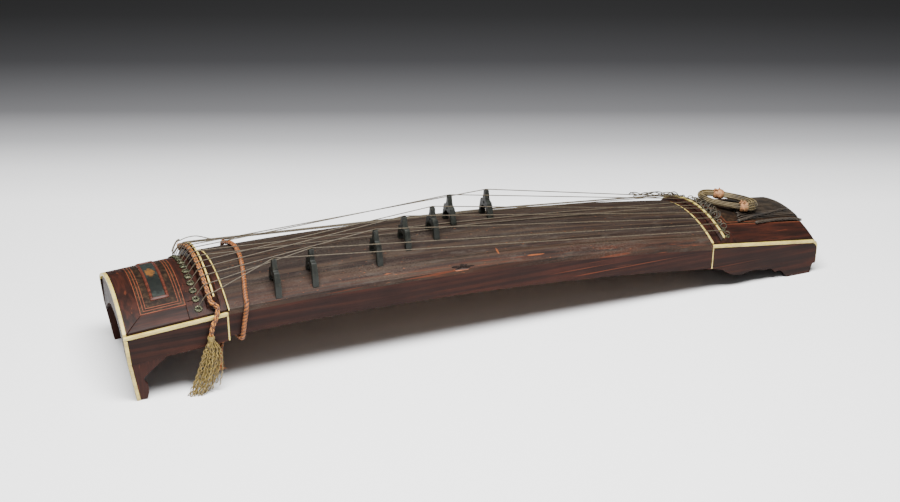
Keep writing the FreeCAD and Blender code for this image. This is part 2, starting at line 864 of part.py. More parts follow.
def bridge_centre(number, share, aside):
    s = share * overall_length
    head_y, tail_y = string_y(number, string_span), string_y(number, tail_string_span)
    y = head_y + (tail_y - head_y) * (s - nut_s) / (tail_nut_s - nut_s) + aside
    return s, y


def bridge(number, share, aside):
    """Movable bridge: an A-shaped board on two feet, fitted to the arch of the soundboard."""
    s, y = bridge_centre(number, share, aside)
    half, foot, top = bridge_foot_span / 2, bridge_foot, bridge_top_width / 2
    high = bridge_height
    centre_z = top_z(s, y) + slide_gap
    low = min(top_z(s, y - half), top_z(s, y + half)) - centre_z - 3
    right = [
        (half, low), (half - 0.5, 0.08 * high), (half - 5.0, 0.52 * high), (half - 7.0, 0.60 * high),
        (top + 3.2, 0.64 * high), (top + 1.2, 0.78 * high), (top, high),
    ]
    outline = right + [(-a, b) for a, b in reversed(right)]
    corners = [V(0, a, b) for a, b in outline]
    board = Part.Face(Part.makePolygon(corners + corners[:1])).extrude(V(bridge_base_thick, 0, 0))
    board.translate(V(-bridge_base_thick / 2, 0, 0))
    inner = half - foot
    arch = Part.Wire([
        Part.makeLine(V(-20, inner, low - 5), V(-20, inner, 0.04 * high)),
        Part.Arc(V(-20, inner, 0.04 * high), V(-20, 0, 0.40 * high), V(-20, -inner, 0.04 * high)).toShape(),
        Part.makeLine(V(-20, -inner, 0.04 * high), V(-20, -inner, low - 5)),
        Part.makeLine(V(-20, -inner, low - 5), V(-20, inner, low - 5)),
    ])
    board = board.cut(Part.Face(arch).extrude(V(40, 0, 0)))
    board = board.cut(Part.makeCylinder(0.05 * high, 40, V(-20, 0, 0.53 * high), V(1, 0, 0)))
    thick, narrow = bridge_base_thick / 2, bridge_top_thick / 2
    for way in (-1, 1):
        slice_points = [V(way * thick, -50, 0.2 * high), V(way * narrow, -50, high + 1), V(way * 30, -50, high + 1),
                        V(way * 30, -50, 0.2 * high)]
        board = board.cut(Part.Face(Part.makePolygon(slice_points + slice_points[:1])).extrude(V(0, 100, 0)))
    board.translate(V(station(s), y, centre_z))
    local = arched([s - 40, s, s + 40], board_edge, board_rise, 0, slide_gap, -60)
    return board.cut(local)


def tail_strands():
    """The strings' spare lengths, led up from under the tail end and over it to the coil."""
    made = []
    gap = string_dia / 2 + 0.15
    for n in range(string_count):
        share = n / (string_count - 1)
        y_end = tail_panel_half * (-0.70 + 1.50 * share)
        y_in = tail_panel_half * (-0.86 + 1.20 * share)
        s_in = tail_panel_s + 42 + 10 * share
        out = station(body_end) + gap
        top = top_z(body_end - tail_round, y_end)
        turn = tail_round + gap
        points = [
            V(out, y_end, 0.62 * (board_tail_z - side_height)),
            V(out, y_end, top - tail_round + 0.414 * turn),
            V(station(body_end - tail_round + 0.414 * turn), y_end, top + gap),
            V(station(body_end - 1.3 * tail_round), y_end, top_z(body_end - 1.3 * tail_round, y_end) + gap + 0.1),
            V(station(s_in + 30), (y_end + 2 * y_in) / 3, top_z(s_in + 30, (y_end + 2 * y_in) / 3) + gap + 0.1),
            V(station(s_in), y_in, top_z(s_in, y_in) + gap + 0.1),
        ]
        made.append(tube(points, string_dia))
    return Part.makeCompound(made)


coil_s = tail_panel_s + 40.0
coil_length = 100.0
coil_width = 54.0
coil_lift = 5.0


def coil_frame(shape):
    """Place the coil on the tail: turned a little, its head end propped up on the strands."""
    shape.rotate(V(0, 0, 0), V(0, 1, 0), 5)
    shape.rotate(V(0, 0, 0), V(0, 0, 1), -41)
    shape.translate(V(station(coil_s), 0, top_z(coil_s, 0) + coil_lift + coil_dia / 2))
    return shape


def string_coil():
    """Hank of spare string, taken as one long ring."""
    straight = (coil_length - coil_width) / 2
    r = (coil_width - coil_dia) / 2
    path = Part.Wire([
        Part.makeLine(V(-straight, -r, 0), V(straight, -r, 0)),
        Part.Arc(V(straight, -r, 0), V(straight + r, 0, 0), V(straight, r, 0)).toShape(),
        Part.makeLine(V(straight, r, 0), V(-straight, r, 0)),
        Part.Arc(V(-straight, r, 0), V(-straight - r, 0, 0), V(-straight, -r, 0)).toShape(),
    ])
    ring_wire = Part.Wire([Part.makeCircle(coil_dia / 2, V(-straight, -r, 0), V(1, 0, 0))])
    return coil_frame(path.makePipeShell([ring_wire], True, True))


def coil_ties():
    """Two strips of paper rolled round the hank."""
    made = []
    r = (coil_width - coil_dia) / 2
    straight = (coil_length - coil_width) / 2
    for x, y, start, turn in ((-15.0, r, V(1, 0, 0), 0.0), (straight, -r, V(1, 0, 0), 33.0)):
        middle = V(x, y, 0)
        if turn:
            ring_wires = [Part.Wire([Part.makeCircle(coil_dia / 2 + grow, middle, start)]) for grow in (1.0, glue_gap)]
            bands = []
            for ring_wire in ring_wires:
                band = Part.Face(ring_wire).revolve(V(x, 0, 0), V(0, 0, 1), turn)
                bands.append(band)
            sleeve = bands[0].cut(bands[1])
        else:
            sleeve = Part.makeCylinder(coil_dia / 2 + 1.0, 11, middle - start * 5.5, start)
            sleeve = sleeve.cut(Part.makeCylinder(coil_dia / 2 + glue_gap, 11, middle - start * 5.5, start))
        made.append(sleeve)
    return coil_frame(Part.makeCompound(made))


def tassel_cord_points():
    """Along the ledge of the head nut under the strings, past its near end, over the edge and down."""
    lift = nut_ledge + tassel_cord_dia / 2 + cord_clear
    s = nut_s - 5.8
    half = half_width(s)
    shares = (0.93, 0.74, 0.53, 0.32, 0.11, -0.10, -0.31, -0.52, -0.71, -0.86)
    points = [V(station(s), y * half, top_z(s, y * half) + lift) for y in shares]
    out = half + tassel_cord_dia / 2 + 0.6
    points += [
        V(station(nut_s - 5.3), 6.0 - half, top_z(s, half - 6.0) + 14.8),
        V(station(nut_s + 3.5), 4.6 - half, top_z(s, half - 4.6) + 10.0),
        V(station(nut_s + 0.5), -out + 0.4, head_edge(s) + 3.0),
        V(station(nut_s - 7.5), -out - 0.6, head_edge(s) - 11.0),
        V(station(nut_s - 11.0), -out - 0.4, head_edge(s) - 27.0),
    ]
    return points


def tassel_cord():
    return tube(tassel_cord_points(), tassel_cord_dia)


def tassel():
    """Bound head and spreading skirt of threads, its tips resting on the floor."""
    end = tassel_cord_points()[-1]
    floor = 0.4
    top = end.z - 1.0
    levels = [
        (1.0, 0.0, 0.0, 4.5), (0.90, -0.4, -0.9, 5.2), (0.78, -0.8, -2.2, 6.2), (0.45, -5.0, -5.0, 13.5),
        (0.16, -14.0, -8.0, 18.5), (0.0, -20.0, -11.0, 20.0),
    ]
    wires = []
    for share, dx, dy, r in levels:
        z = floor + (top - floor) * share
        wires.append(Part.Wire([Part.makeCircle(r, V(end.x + dx, end.y + dy, z), V(0, 0, 1))]))
    return Part.makeLoft(wires, True, True)


def body_cord_points():
    """Round the body near the head: a hanging end, under the base, up the far side, over and down."""
    r = body_cord_dia / 2
    lift = r + 0.7

    def over(s, share):
        y = share * half_width(s)
        return V(station(s), y, top_z(s, y) + lift)

    def beside(s, side, z, out=1.0):
        return V(station(s), side * (half_width(s) + r + out), z)

    s = head_block_end
    out = half_width(s) + r + 0.7
    under = base_z(s + 28) + base_recess - r - 1.0
    low = leg_z() + 1.0
    points = [
        V(station(s - 16), -0.88 * out, low - 29.0),
        V(station(s - 14.5), -0.87 * out, low - 15.0),
        V(station(s - 10), -0.80 * out, low - 1.0),
        V(station(s + 4), -0.58 * out, low + 4.0),
        V(station(s + 18), -0.25 * out, under - 2.0),
        V(station(s + 28), 0.20 * out, under - 1.0),
        V(station(s + 35), 0.58 * out, under - 1.5),
        V(station(s + 39), 0.84 * out, base_z(s + 39) - 5.5),
        beside(s + 40, 1, base_z(s + 40) - 6.5, -0.5),
        beside(s + 41, 1, base_z(s + 41) + 3.0, 1.4),
        beside(s + 42, 1, board_edge(s + 42) - 15.0),
        beside(s + 42.5, 1, board_edge(s + 42) - 3.0, 1.4),
        beside(s + 43, 1, board_edge(s + 43) + 6.5, -0.5),
    ]
    swing = ((44, 0.88), (44.6, 0.68), (45.2, 0.47), (45, 0.26), (44, 0.05), (42, -0.16), (39, -0.37), (35, -0.58),
             (30.5, -0.77), (28, -0.89))
    points += [over(s + ds, share) for ds, share in swing]
    points += [
        beside(s + 26, -1, board_edge(s + 26) + 6.5, -0.5),
        beside(s + 24.5, -1, board_edge(s + 24) - 3.0, 1.4),
        beside(s + 22, -1, board_edge(s + 22) - 15.0),
        beside(s + 18.5, -1, board_edge(s + 19) - 34.0, 1.2),
        V(station(s + 16.5), -0.995 * out, base_z(s + 16) - 6.5),
        V(station(s + 14.0), -0.87 * out, base_z(s + 14) - 8.0),
        V(station(s + 10.5), -0.72 * out, base_z(s + 10) - 5.5),
    ]
    return points


def body_cord():
    return tube(body_cord_points(), body_cord_dia)


def parts():
    """Every piece by its node name."""
    made = {
        "soundboard": soundboard(),
        "soundboard_head_line": soundboard_head_line(),
        "front_side": side_board(-1),
        "back_side": side_board(1),
        "base_board": base_board(),
        "cross_braces": braces(),
        "end_blocks": end_blocks(),
        "head_cheek_front": head_cheek(-1),
        "head_cheek_back": head_cheek(1),
        "head_legs": head_legs(),
        "head_leg_strips": head_leg_strips(),
        "head_joint_strips": head_joint_strips(),
        "head_edge_strips": head_edge_strips(),
        "head_end_strip": head_end_strip(),
        "head_end_border": head_end_border(),
        "head_border_front": head_long_border(-1),
        "head_border_back": head_long_border(1),
        "eyelet_board": eyelet_board(),
        "head_panel": head_panel(),
        "head_inlay": head_inlay(),
        "plaque_frame": plaque_frame(),
        "plaque": plaque(),
        "head_end_board": head_end_board(),
        "head_nut": head_nut(),
        "head_nut_cap": head_nut_cap(),
        "head_eyelets": head_eyelets(),
        "tail_cheek_front": tail_cheek(-1),
        "tail_cheek_back": tail_cheek(1),
        "tail_edge_strips": tail_edge_strips(),
        "tail_joint_strips": tail_joint_strips(),
        "tail_head_line": tail_head_line(),
        "tail_cross_board": tail_cross_board(),
        "tail_long_borders": tail_long_borders(),
        "tail_panel": tail_panel(),
        "tail_inlay": tail_inlay(),
        "tail_end_board": tail_end_board(),
        "tail_nut": tail_nut(),
        "tail_nut_cap": tail_nut_cap(),
        "tail_eyelets": tail_eyelets(),
        "slack_strings": slack_strings(),
        "tail_strands": tail_strands(),
        "string_coil": string_coil(),
        "coil_ties": coil_ties(),
        "tassel_cord": tassel_cord(),
        "tassel": tassel(),
        "body_cord": body_cord(),
    }
    for number, share, aside in BRIDGES:
        made["bridge_%02d" % number] = bridge(number, share, aside)
        made["string_%02d" % number] = string(number, (share, aside))
    return made


def main():
    os.makedirs("parts", exist_ok=True)
    for name, shape in parts().items():
        shape.exportStep("parts/%s.step" % name)


main()
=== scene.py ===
"""Guzheng, a table zither with movable bridges: its looks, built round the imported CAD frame.

Pieces are laid out in millimetres and turned into metres as each mesh is made.
+X runs from head to tail, +Z is up and the player sits at -Y.
"""

import bpy
import json
import math
import numpy as np
import random
from mathutils import Euler, Matrix, Vector

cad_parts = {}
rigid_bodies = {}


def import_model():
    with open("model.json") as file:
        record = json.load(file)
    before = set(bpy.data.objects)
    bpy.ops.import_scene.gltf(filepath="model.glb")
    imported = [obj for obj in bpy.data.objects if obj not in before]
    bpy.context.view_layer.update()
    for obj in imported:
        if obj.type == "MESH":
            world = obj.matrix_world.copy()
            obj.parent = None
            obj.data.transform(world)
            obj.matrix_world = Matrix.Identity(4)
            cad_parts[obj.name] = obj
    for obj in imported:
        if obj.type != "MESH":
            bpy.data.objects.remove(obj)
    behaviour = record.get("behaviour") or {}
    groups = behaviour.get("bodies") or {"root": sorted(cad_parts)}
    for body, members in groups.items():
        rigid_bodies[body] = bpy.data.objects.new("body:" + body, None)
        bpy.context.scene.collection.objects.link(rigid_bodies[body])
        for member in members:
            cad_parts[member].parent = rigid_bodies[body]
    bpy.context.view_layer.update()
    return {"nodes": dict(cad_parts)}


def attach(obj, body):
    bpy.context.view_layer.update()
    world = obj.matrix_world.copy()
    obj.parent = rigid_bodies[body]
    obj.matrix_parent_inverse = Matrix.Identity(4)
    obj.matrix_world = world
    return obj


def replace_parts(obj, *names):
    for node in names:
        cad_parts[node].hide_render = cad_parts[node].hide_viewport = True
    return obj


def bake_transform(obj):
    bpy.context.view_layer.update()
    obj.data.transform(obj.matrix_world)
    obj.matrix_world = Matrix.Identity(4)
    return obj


bl_info = {
    "name": "Guzheng",
    "version": (1, 0, 0),
    "blender": (4, 5, 0),
    "location": "3D View > Sidebar > Guzheng",
    "description": "Builds the finishes, strings and cords of a thirteen string table zither",
    "category": "Add Mesh",
}

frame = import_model()
NODES = frame["nodes"]
BODY = "instrument"


def linear(code):
    """An sRGB hex colour as linear red, green, blue and alpha."""
    parts = [int(code[i:i + 2], 16) / 255 for i in (0, 2, 4)]
    return tuple(c / 12.92 if c <= 0.04045 else ((c + 0.055) / 1.055) ** 2.4 for c in parts) + (1.0,)


# ---- the instrument's form, in millimetres ----

LENGTH = 1150.0
HEAD_WIDTH, TAIL_WIDTH = 222.0, 0.9 * 222.0
HEAD_END, TAIL_START, BODY_END = 0.127 * LENGTH, 0.818 * LENGTH, LENGTH - 1.5
CORNER_Z = 103.0
SIDE_HEIGHT = 41.5
TAIL_ROUND = 12.0
HEAD_RISE, BOARD_RISE, TAIL_RISE = 0.153 * HEAD_WIDTH, 0.131 * HEAD_WIDTH, 0.126 * HEAD_WIDTH
NUT, TAIL_NUT = 0.1122 * LENGTH, TAIL_START + 24.0
EYELET, TAIL_EYELET = 0.0935 * LENGTH, TAIL_START + 37.0
STRINGS = 13
SPAN = 0.854 * HEAD_WIDTH
BRIDGES = ((1, 0.191, 6.0), (2, 0.240, -3.5), (3, 0.330, -2.0), (4, 0.376, 4.5), (5, 0.421, 6.0),
           (8, 0.458, -3.0), (9, 0.516, -8.0))
PANEL = (0.0255 * LENGTH, 0.0803 * LENGTH)
PLAQUE = tuple(PANEL[0] + share * (PANEL[1] - PANEL[0]) for share in (0.29, 0.71))
PLAQUE_HALF = 0.29 * HEAD_WIDTH
TAIL_PANEL, TAIL_PANEL_HALF = TAIL_START + 48.0, 0.30 * TAIL_WIDTH


def station(s):
    return s - LENGTH / 2


def half_width(s):
    return (HEAD_WIDTH + (TAIL_WIDTH - HEAD_WIDTH) * s / LENGTH) / 2


def head_edge(s):
    return CORNER_Z + 11.2 * s / HEAD_END


def board_edge(s):
    """Long edge of the soundboard, an arc through its height at the head, the middle and the tail."""
    a, b, c = HEAD_END, (HEAD_END + TAIL_START) / 2, TAIL_START
    za, zb, zc = CORNER_Z + 16.5, CORNER_Z + 14.0, CORNER_Z - 20.0
    d = 2 * (a * (zb - zc) + b * (zc - za) + c * (za - zb))
    ka, kb, kc = a * a + za * za, b * b + zb * zb, c * c + zc * zc
    cs = (ka * (zb - zc) + kb * (zc - za) + kc * (za - zb)) / d
    cz = (ka * (c - b) + kb * (a - c) + kc * (b - a)) / d
    return cz + math.sqrt((a - cs) ** 2 + (za - cz) ** 2 - (s - cs) ** 2)


def tail_edge(s):
    z = CORNER_Z - 20.0 - 25.0 * (s - TAIL_START) / (LENGTH - TAIL_START)
    past = min(s - (BODY_END - TAIL_ROUND), TAIL_ROUND)
    return z - (TAIL_ROUND - math.sqrt(TAIL_ROUND ** 2 - past ** 2) if past > 0 else 0)


def top_z(s, y):
    """Height of the arched top."""
    edge, rise = (head_edge, HEAD_RISE) if s < HEAD_END else (board_edge, BOARD_RISE)
    if s >= TAIL_START:
        edge, rise = tail_edge, TAIL_RISE
    radius = (half_width(s) ** 2 + rise ** 2) / (2 * rise)
    return edge(s) + math.sqrt(radius ** 2 - y ** 2) - (radius - rise)


def above(s, y, lift):
    """Point a lift above the arched top."""
    return (station(s), y, top_z(s, y) + lift)


def base_z(s):
    return board_edge(s) - SIDE_HEIGHT


LEG_Z = CORNER_Z - SIDE_HEIGHT - 1.4
STRING_RADIUS, NUT_LIFT, BRIDGE_LIFT, TAIL_NUT_LIFT = 0.65, 19.4, 43.8, 10.2
CHIP_HOLE, CHIP_LONG, CHIP_WIDE = (-74.0, -100.8, 118.0), 32.0, 9.8


# ---- shapes ----

def unit(v):
    return v / np.linalg.norm(v)


def route(points, step=6.0, reach=None):
    """Line through straight runs with rounded corners; without a reach each bend takes half its runs."""
    p = [np.array(q, float) for q in points]
    line = [p[0]]
    for before, corner, after in zip(p, p[1:], p[2:]):
        ends = []
        for other in (before, after):
            share = 0.5 if reach is None else min(0.5, reach / np.linalg.norm(other - corner))
            ends.append(corner + (other - corner) * share)
        for t in np.linspace(0, 1, 9):
            line.append((1 - t) ** 2 * ends[0] + 2 * t * (1 - t) * corner + t * t * ends[1])
    line.append(p[-1])
    full = [line[0]]
    for q in line[1:]:
        start, gap = full[-1], np.linalg.norm(q - full[-1])
        if gap > 1e-6:
            pieces = max(1, math.ceil(gap / step))
            full += [start + (q - start) * i / pieces for i in range(1, pieces + 1)]
    return np.array(full)


def runs(line):
    """How far along a line each of its points is."""
    return np.concatenate([[0], np.cumsum(np.linalg.norm(np.diff(line, axis=0), axis=1))])


def even(line, step):
    """The same line with its points a fixed step apart."""
    line = np.asarray(line, float)
    run = runs(line)
    at = np.linspace(0, run[-1], max(3, int(round(run[-1] / step)) + 1))
    return np.stack([np.interp(at, run, line[:, i]) for i in range(3)], axis=1)


def frames(line):
    """Two directions across a line at each of its points, carried on without twist."""
    along = np.gradient(line, axis=0)
    along /= np.linalg.norm(along, axis=1)[:, None]
    across = np.empty_like(along)
    first = np.cross(along[0], (0, 0, 1) if abs(along[0][2]) < 0.9 else (1, 0, 0))
    across[0] = unit(first)
    for i in range(1, len(line)):
        across[i] = unit(across[i - 1] - along[i] * across[i - 1].dot(along[i]))
    return across, np.cross(along, across)


def rings(loops, closed=True):
    """Skin over loops of equal count; the last is joined to the first, or both ends are capped."""
    count = len(loops[0])
    points = [tuple(p) for loop in loops for p in loop]
    faces = []
    for i in range(len(loops) if closed else len(loops) - 1):
        low, high = i * count, (i + 1) % len(loops) * count
        for j in range(count):
            k = (j + 1) % count
            faces.append((low + j, low + k, high + k, high + j))
    if not closed:
        faces.append(tuple(range(count - 1, -1, -1)))
        faces.append(tuple(range((len(loops) - 1) * count, len(loops) * count)))
    return points, faces


def tube(line, radius, sides=6, closed=False):
    """Round tube along a line."""
    line = np.asarray(line, float)
    a, b = frames(line)
    turn = (np.arange(sides) * 2 * math.pi / sides)[None, :, None]
    return rings(line[:, None] + radius * (np.cos(turn) * a[:, None] + np.sin(turn) * b[:, None]), closed)


def piece(name, shapes, material, body=BODY, second=((), None)):
    """One object from shapes in millimetres, riding on its body; a second lot has its own material."""
    points, faces, kinds = [], [], []
    for kind, lot in enumerate((shapes, second[0])):
        for some_points, some_faces in lot:
            start = len(points)
            points += [tuple(c * 0.001 for c in p) for p in some_points]
            faces += [tuple(start + i for i in f) for f in some_faces]
            kinds += [kind] * len(some_faces)
    mesh = bpy.data.meshes.new(name)
    mesh.from_pydata(points, [], faces)
    mesh.polygons.foreach_set("material_index", kinds)
    mesh.validate()
    mesh.polygons.foreach_set("use_smooth", [True] * len(mesh.polygons))
    for used in (material, second[1]) if second[1] else (material,):
        mesh.materials.append(finish(used))
    made = bpy.data.objects.new(name, mesh)
    bpy.context.scene.collection.objects.link(made)
    if body:
        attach(made, body)
    return made


def plies(line, radius, count, pitch, ply_radius, phase=0.0):
    """Plies laid round a line in a helix."""
    run, (a, b) = runs(line), frames(line)
    made = []
    for k in range(count):
        turn = 2 * math.pi * run / pitch + 2 * math.pi * k / count + phase
        off = (radius - ply_radius) * (np.cos(turn)[:, None] * a + np.sin(turn)[:, None] * b)
        made.append(tube(line + off, ply_radius, 8))
    return made


def braid(line, radius, each, pitch, ply_radius):
    """Tubular braid: as many plies each way, passing over and under in turn."""
    run, (a, b) = runs(line), frames(line)
    made = []
    for way in (-1, 1):
        for k in range(each):
            turn = way * 2 * math.pi * run / pitch + 2 * math.pi * k / each
            over = way * 0.45 * ply_radius * np.cos(each * 2 * math.pi * run / pitch)
            off = (radius - 1.45 * ply_radius + over)[:, None] * (np.cos(turn)[:, None] * a
                                                                  + np.sin(turn)[:, None] * b)
            made.append(tube(line + off, ply_radius, 6))
    return made


# ---- finishes ----

def add(tree, kind, inputs=(), stops=(), output=None, **settings):
    """Add a node, set it, feed its sockets from values, hex colours or outputs, and return its output."""
    made = tree.nodes.new("ShaderNode" + kind)
    for name, value in settings.items():
        setattr(made, name, value)
    sockets = [s for s in made.inputs if s.enabled]
    for key, value in dict(inputs).items():
        socket = sockets[key] if isinstance(key, int) else next(s for s in sockets if s.name == key)
        if isinstance(value, bpy.types.NodeSocket):
            tree.links.new(value, socket)
        else:
            socket.default_value = linear(value) if isinstance(value, str) else value
    if stops:
        elements = made.color_ramp.elements
        while len(elements) < len(stops):
            elements.new(0.5)
        for element, (place, colour) in zip(elements, stops):
            element.position = place
            element.color = linear(colour) if isinstance(colour, str) else colour
    outputs = [o for o in made.outputs if o.enabled]
    if output:
        return next(o for o in outputs if o.name == output)
    return outputs[0] if outputs else None


def surface(name, build):
    """Material whose principled shader takes the inputs that build(tree) works out.

    A normal is given as a height, the distance in metres that it stands for and its strength.
    """
    material = bpy.data.materials.new(name)
    material.use_nodes = True
    tree = material.node_tree
    tree.nodes.clear()
    inputs = build(tree)
    if "Normal" in inputs:
        height, distance, strength = inputs["Normal"]
        inputs["Normal"] = add(tree, "Bump", {"Height": height, "Distance": distance, "Strength": strength})
    add(tree, "OutputMaterial", {"Surface": add(tree, "BsdfPrincipled", inputs)})
    return material


def grain(tree, x, y, z=None, detail=4.0, rough=0.6):
    """Noise on the object whose pattern is this many millimetres long, wide and high."""
    place = add(tree, "TexCoord", output="Object")
    per_metre = (1000 / x, 1000 / y, 1000 / (z or y))
    place = add(tree, "VectorMath", {0: place, 1: per_metre}, operation="MULTIPLY")
    return add(tree, "TexNoise", {"Vector": place, "Scale": 1.0, "Detail": detail, "Roughness": rough})


def spots(tree, size, low, high, detail=4.0):
    """Mask of noise: 0 where it is under low, 1 where it is over high."""
    noise = grain(tree, *size, detail=detail)
    return add(tree, "MapRange", {"Value": noise, "From Min": low, "From Max": high})


def layer(tree, under, over, share, *masks):
    """A colour laid over another by a share, as far as every mask lets it."""
    for mask in masks:
        share = add(tree, "Math", {0: share, 1: mask}, operation="MULTIPLY")
    return add(tree, "Mix", {"Factor": share, "A": under, "B": over}, data_type="RGBA")


def patch(tree, centre, size, ragged=0.5):
    """Mask of a ragged oval patch; centre and size in millimetres."""
    place = add(tree, "TexCoord", output="Object")
    off = add(tree, "VectorMath", {0: place, 1: tuple(c * 0.001 for c in centre)}, operation="SUBTRACT")
    scaled = add(tree, "VectorMath", {0: off, 1: tuple(1000 / c for c in size)}, operation="MULTIPLY")
    reach = add(tree, "VectorMath", {0: scaled}, operation="LENGTH", output="Value")
    torn = add(tree, "Math", {0: grain(tree, size[0] * 0.5, size[1] * 0.5), 1: ragged}, operation="MULTIPLY")
    torn = add(tree, "Math", {0: reach, 1: torn}, operation="ADD")
    half = ragged / 2
    return add(tree, "MapRange", {"Value": torn, "From Min": 1.15 + half, "From Max": 0.95 + half})


def rosewood(name, colours, along="x", streaks=0.35, redder=0.0):
    """Quarter-sawn rosewood, planed, oiled and waxed: dark streaks, short open pores, a soft worn shine.

    The pattern of the pores is about a millimetre across, coarser than the real one, so that it is seen.
    """
    def build(tree):
        size = {"x": (330.0, 8.0, 8.0), "y": (8.0, 330.0, 8.0), "z": (7.0, 7.0, 160.0)}[along]
        pore = {"x": (20.0, 0.9, 0.9), "y": (0.9, 20.0, 0.9), "z": (0.9, 0.9, 18.0)}[along]
        colour = add(tree, "ValToRGB", {"Fac": grain(tree, *size, detail=5.0)}, stops=(
            (0.28, colours.rosewood_dark), (0.47, colours.rosewood_mid), (0.60, colours.rosewood_red),
            (0.68, colours.rosewood_mid)))
        colour = layer(tree, colour, "42201a", redder)
        colour = layer(tree, colour, colours.rosewood_dark, 0.5, spots(tree, (90.0, 60.0), 0.35, 0.7))
        pores = spots(tree, pore, 0.60, 0.70, 2.0)
        colour = layer(tree, colour, "0d0807", 0.6, pores)
        fine = [c * (1.6 if c > 50 else 0.55) for c in size]
        colour = layer(tree, colour, colours.line_red, streaks, spots(tree, fine, 0.66, 0.70, 2.0))
        rough = add(tree, "MapRange", {"Value": grain(tree, 40.0, 25.0), "To Min": 0.42, "To Max": 0.68})
        return {"Base Color": colour, "Roughness": rough, "IOR": 1.5, "Specular IOR Level": 0.12,
                "Normal": (pores, -0.00006, 0.5)}
    return surface(name, build)


def soundboard_wood(colours):
    """Aged wutong, once oiled: brown-black, long raised grain, dust in it, red wood at the rubbed edges.

    The specks of dust and the scratches are drawn a millimetre or more across, coarser than real ones.
    """
    def build(tree):
        figure = grain(tree, 420.0, 9.0, 60.0, detail=6.0, rough=0.65)
        colour = add(tree, "ValToRGB", {"Fac": figure}, stops=(
            (0.30, "110c0b"), (0.46, colours.soundboard), (0.58, "34281f"), (0.72, "1f1713")))
        colour = layer(tree, colour, "120d0b", 0.8, spots(tree, (260.0, 2.6, 40.0), 0.50, 0.64, 3.0))
        place = add(tree, "TexCoord", output="Object")
        near = add(tree, "VectorMath", {0: place, 1: (0.00965, -1.0, 0.0)},
                   operation="DOT_PRODUCT", output="Value")
        edge = add(tree, "MapRange", {"Value": near, "From Min": 0.066, "From Max": 0.104})
        colour = layer(tree, colour, "341c13", 0.75, edge, spots(tree, (300.0, 5.0, 5.0), 0.42, 0.60, 5.0))
        rubbed = add(tree, "MapRange", {"Value": near, "From Min": 0.092, "From Max": 0.1})
        colour = layer(tree, colour, "5a2c1a", 0.75, rubbed, spots(tree, (420.0, 1.6, 6.0), 0.60, 0.64, 2.0))
        dust = spots(tree, (130.0, 45.0), 0.38, 0.72)
        colour = layer(tree, colour, "5f574b", 0.50, dust, spots(tree, (2.6, 1.2), 0.46, 0.70, 3.0))
        colour = layer(tree, colour, "3b352f", 0.6, spots(tree, (34.0, 9.0), 0.56, 0.72))
        colour = layer(tree, colour, "7e4a2c", 0.8, spots(tree, (7.0, 1.3), 0.745, 0.77, 1.0))
        for centre, size in (
                ((91, -60, 116), (2.0, 9, 9)), ((-8, -80, 122), (2.0, 8, 8)), ((66, -66, 117), (5, 3, 5)),
                ((-190, -96, 122), (26, 3, 5)), ((48, -96, 116), (15, 1.2, 4))):
            colour = layer(tree, colour, "7c4322", 0.75, patch(tree, centre, size, 0.9))
        rough = add(tree, "MapRange", {"Value": grain(tree, 120.0, 12.0), "To Min": 0.50, "To Max": 0.78})
        return {"Base Color": colour, "Roughness": rough, "IOR": 1.5, "Specular IOR Level": 0.12,
                "Normal": (figure, 0.00025, 0.6)}
    return surface("aged_wutong", build)


def bone(colours):
    """Bone edging, scraped and polished, gone yellow: creamy with brown grime in its length lines.

    The lines are drawn about a millimetre wide, coarser than the pores of real bone.
    """
    def build(tree):
        stain = spots(tree, (34.0, 12.0), 0.42, 0.72, 5.0)
        colour = layer(tree, colours.bone, colours.bone_stain, 0.7, stain)
        grime = spots(tree, (9.0, 1.2), 0.54, 0.72)
        colour = layer(tree, colour, "4f3b18", 0.7, grime)
        return {"Base Color": colour, "Roughness": 0.42, "IOR": 1.54, "Subsurface Weight": 0.06,
                "Subsurface Scale": 0.002,
                "Normal": (grime, -0.00012, 0.6)}
    return surface("polished_bone", build)


def plain_wood(name, dark, light, rough=0.6, size=(120.0, 3.0)):
    """Plain oiled wood, its straight grain drawn with lines about 3 mm apart, coarser than real ones."""
    def build(tree):
        figure = grain(tree, *size, detail=5.0)
        colour = add(tree, "ValToRGB", {"Fac": figure}, stops=((0.3, dark), (0.65, light)))
        return {"Base Color": colour, "Roughness": rough, "IOR": 1.5, "Specular IOR Level": 0.2,
                "Normal": (figure, 0.0001, 0.5)}
    return surface(name, build)


def bridge_wood():
    """Ebonised hardwood, filed and handled: grey-black with a greenish cast and pale rubbed spots."""
    def build(tree):
        figure = grain(tree, 4.0, 4.0, 30.0, detail=5.0)
        colour = add(tree, "ValToRGB", {"Fac": figure}, stops=((0.3, "0c0d0b"), (0.6, "1c1e1a")))
        colour = layer(tree, colour, "403c31", 0.5, spots(tree, (6.0, 6.0), 0.58, 0.76, 5.0))
        return {"Base Color": colour, "Roughness": 0.48, "IOR": 1.5, "Specular IOR Level": 0.25,
                "Normal": (figure, 0.00012, 0.5)}
    return surface("ebonised_hardwood", build)


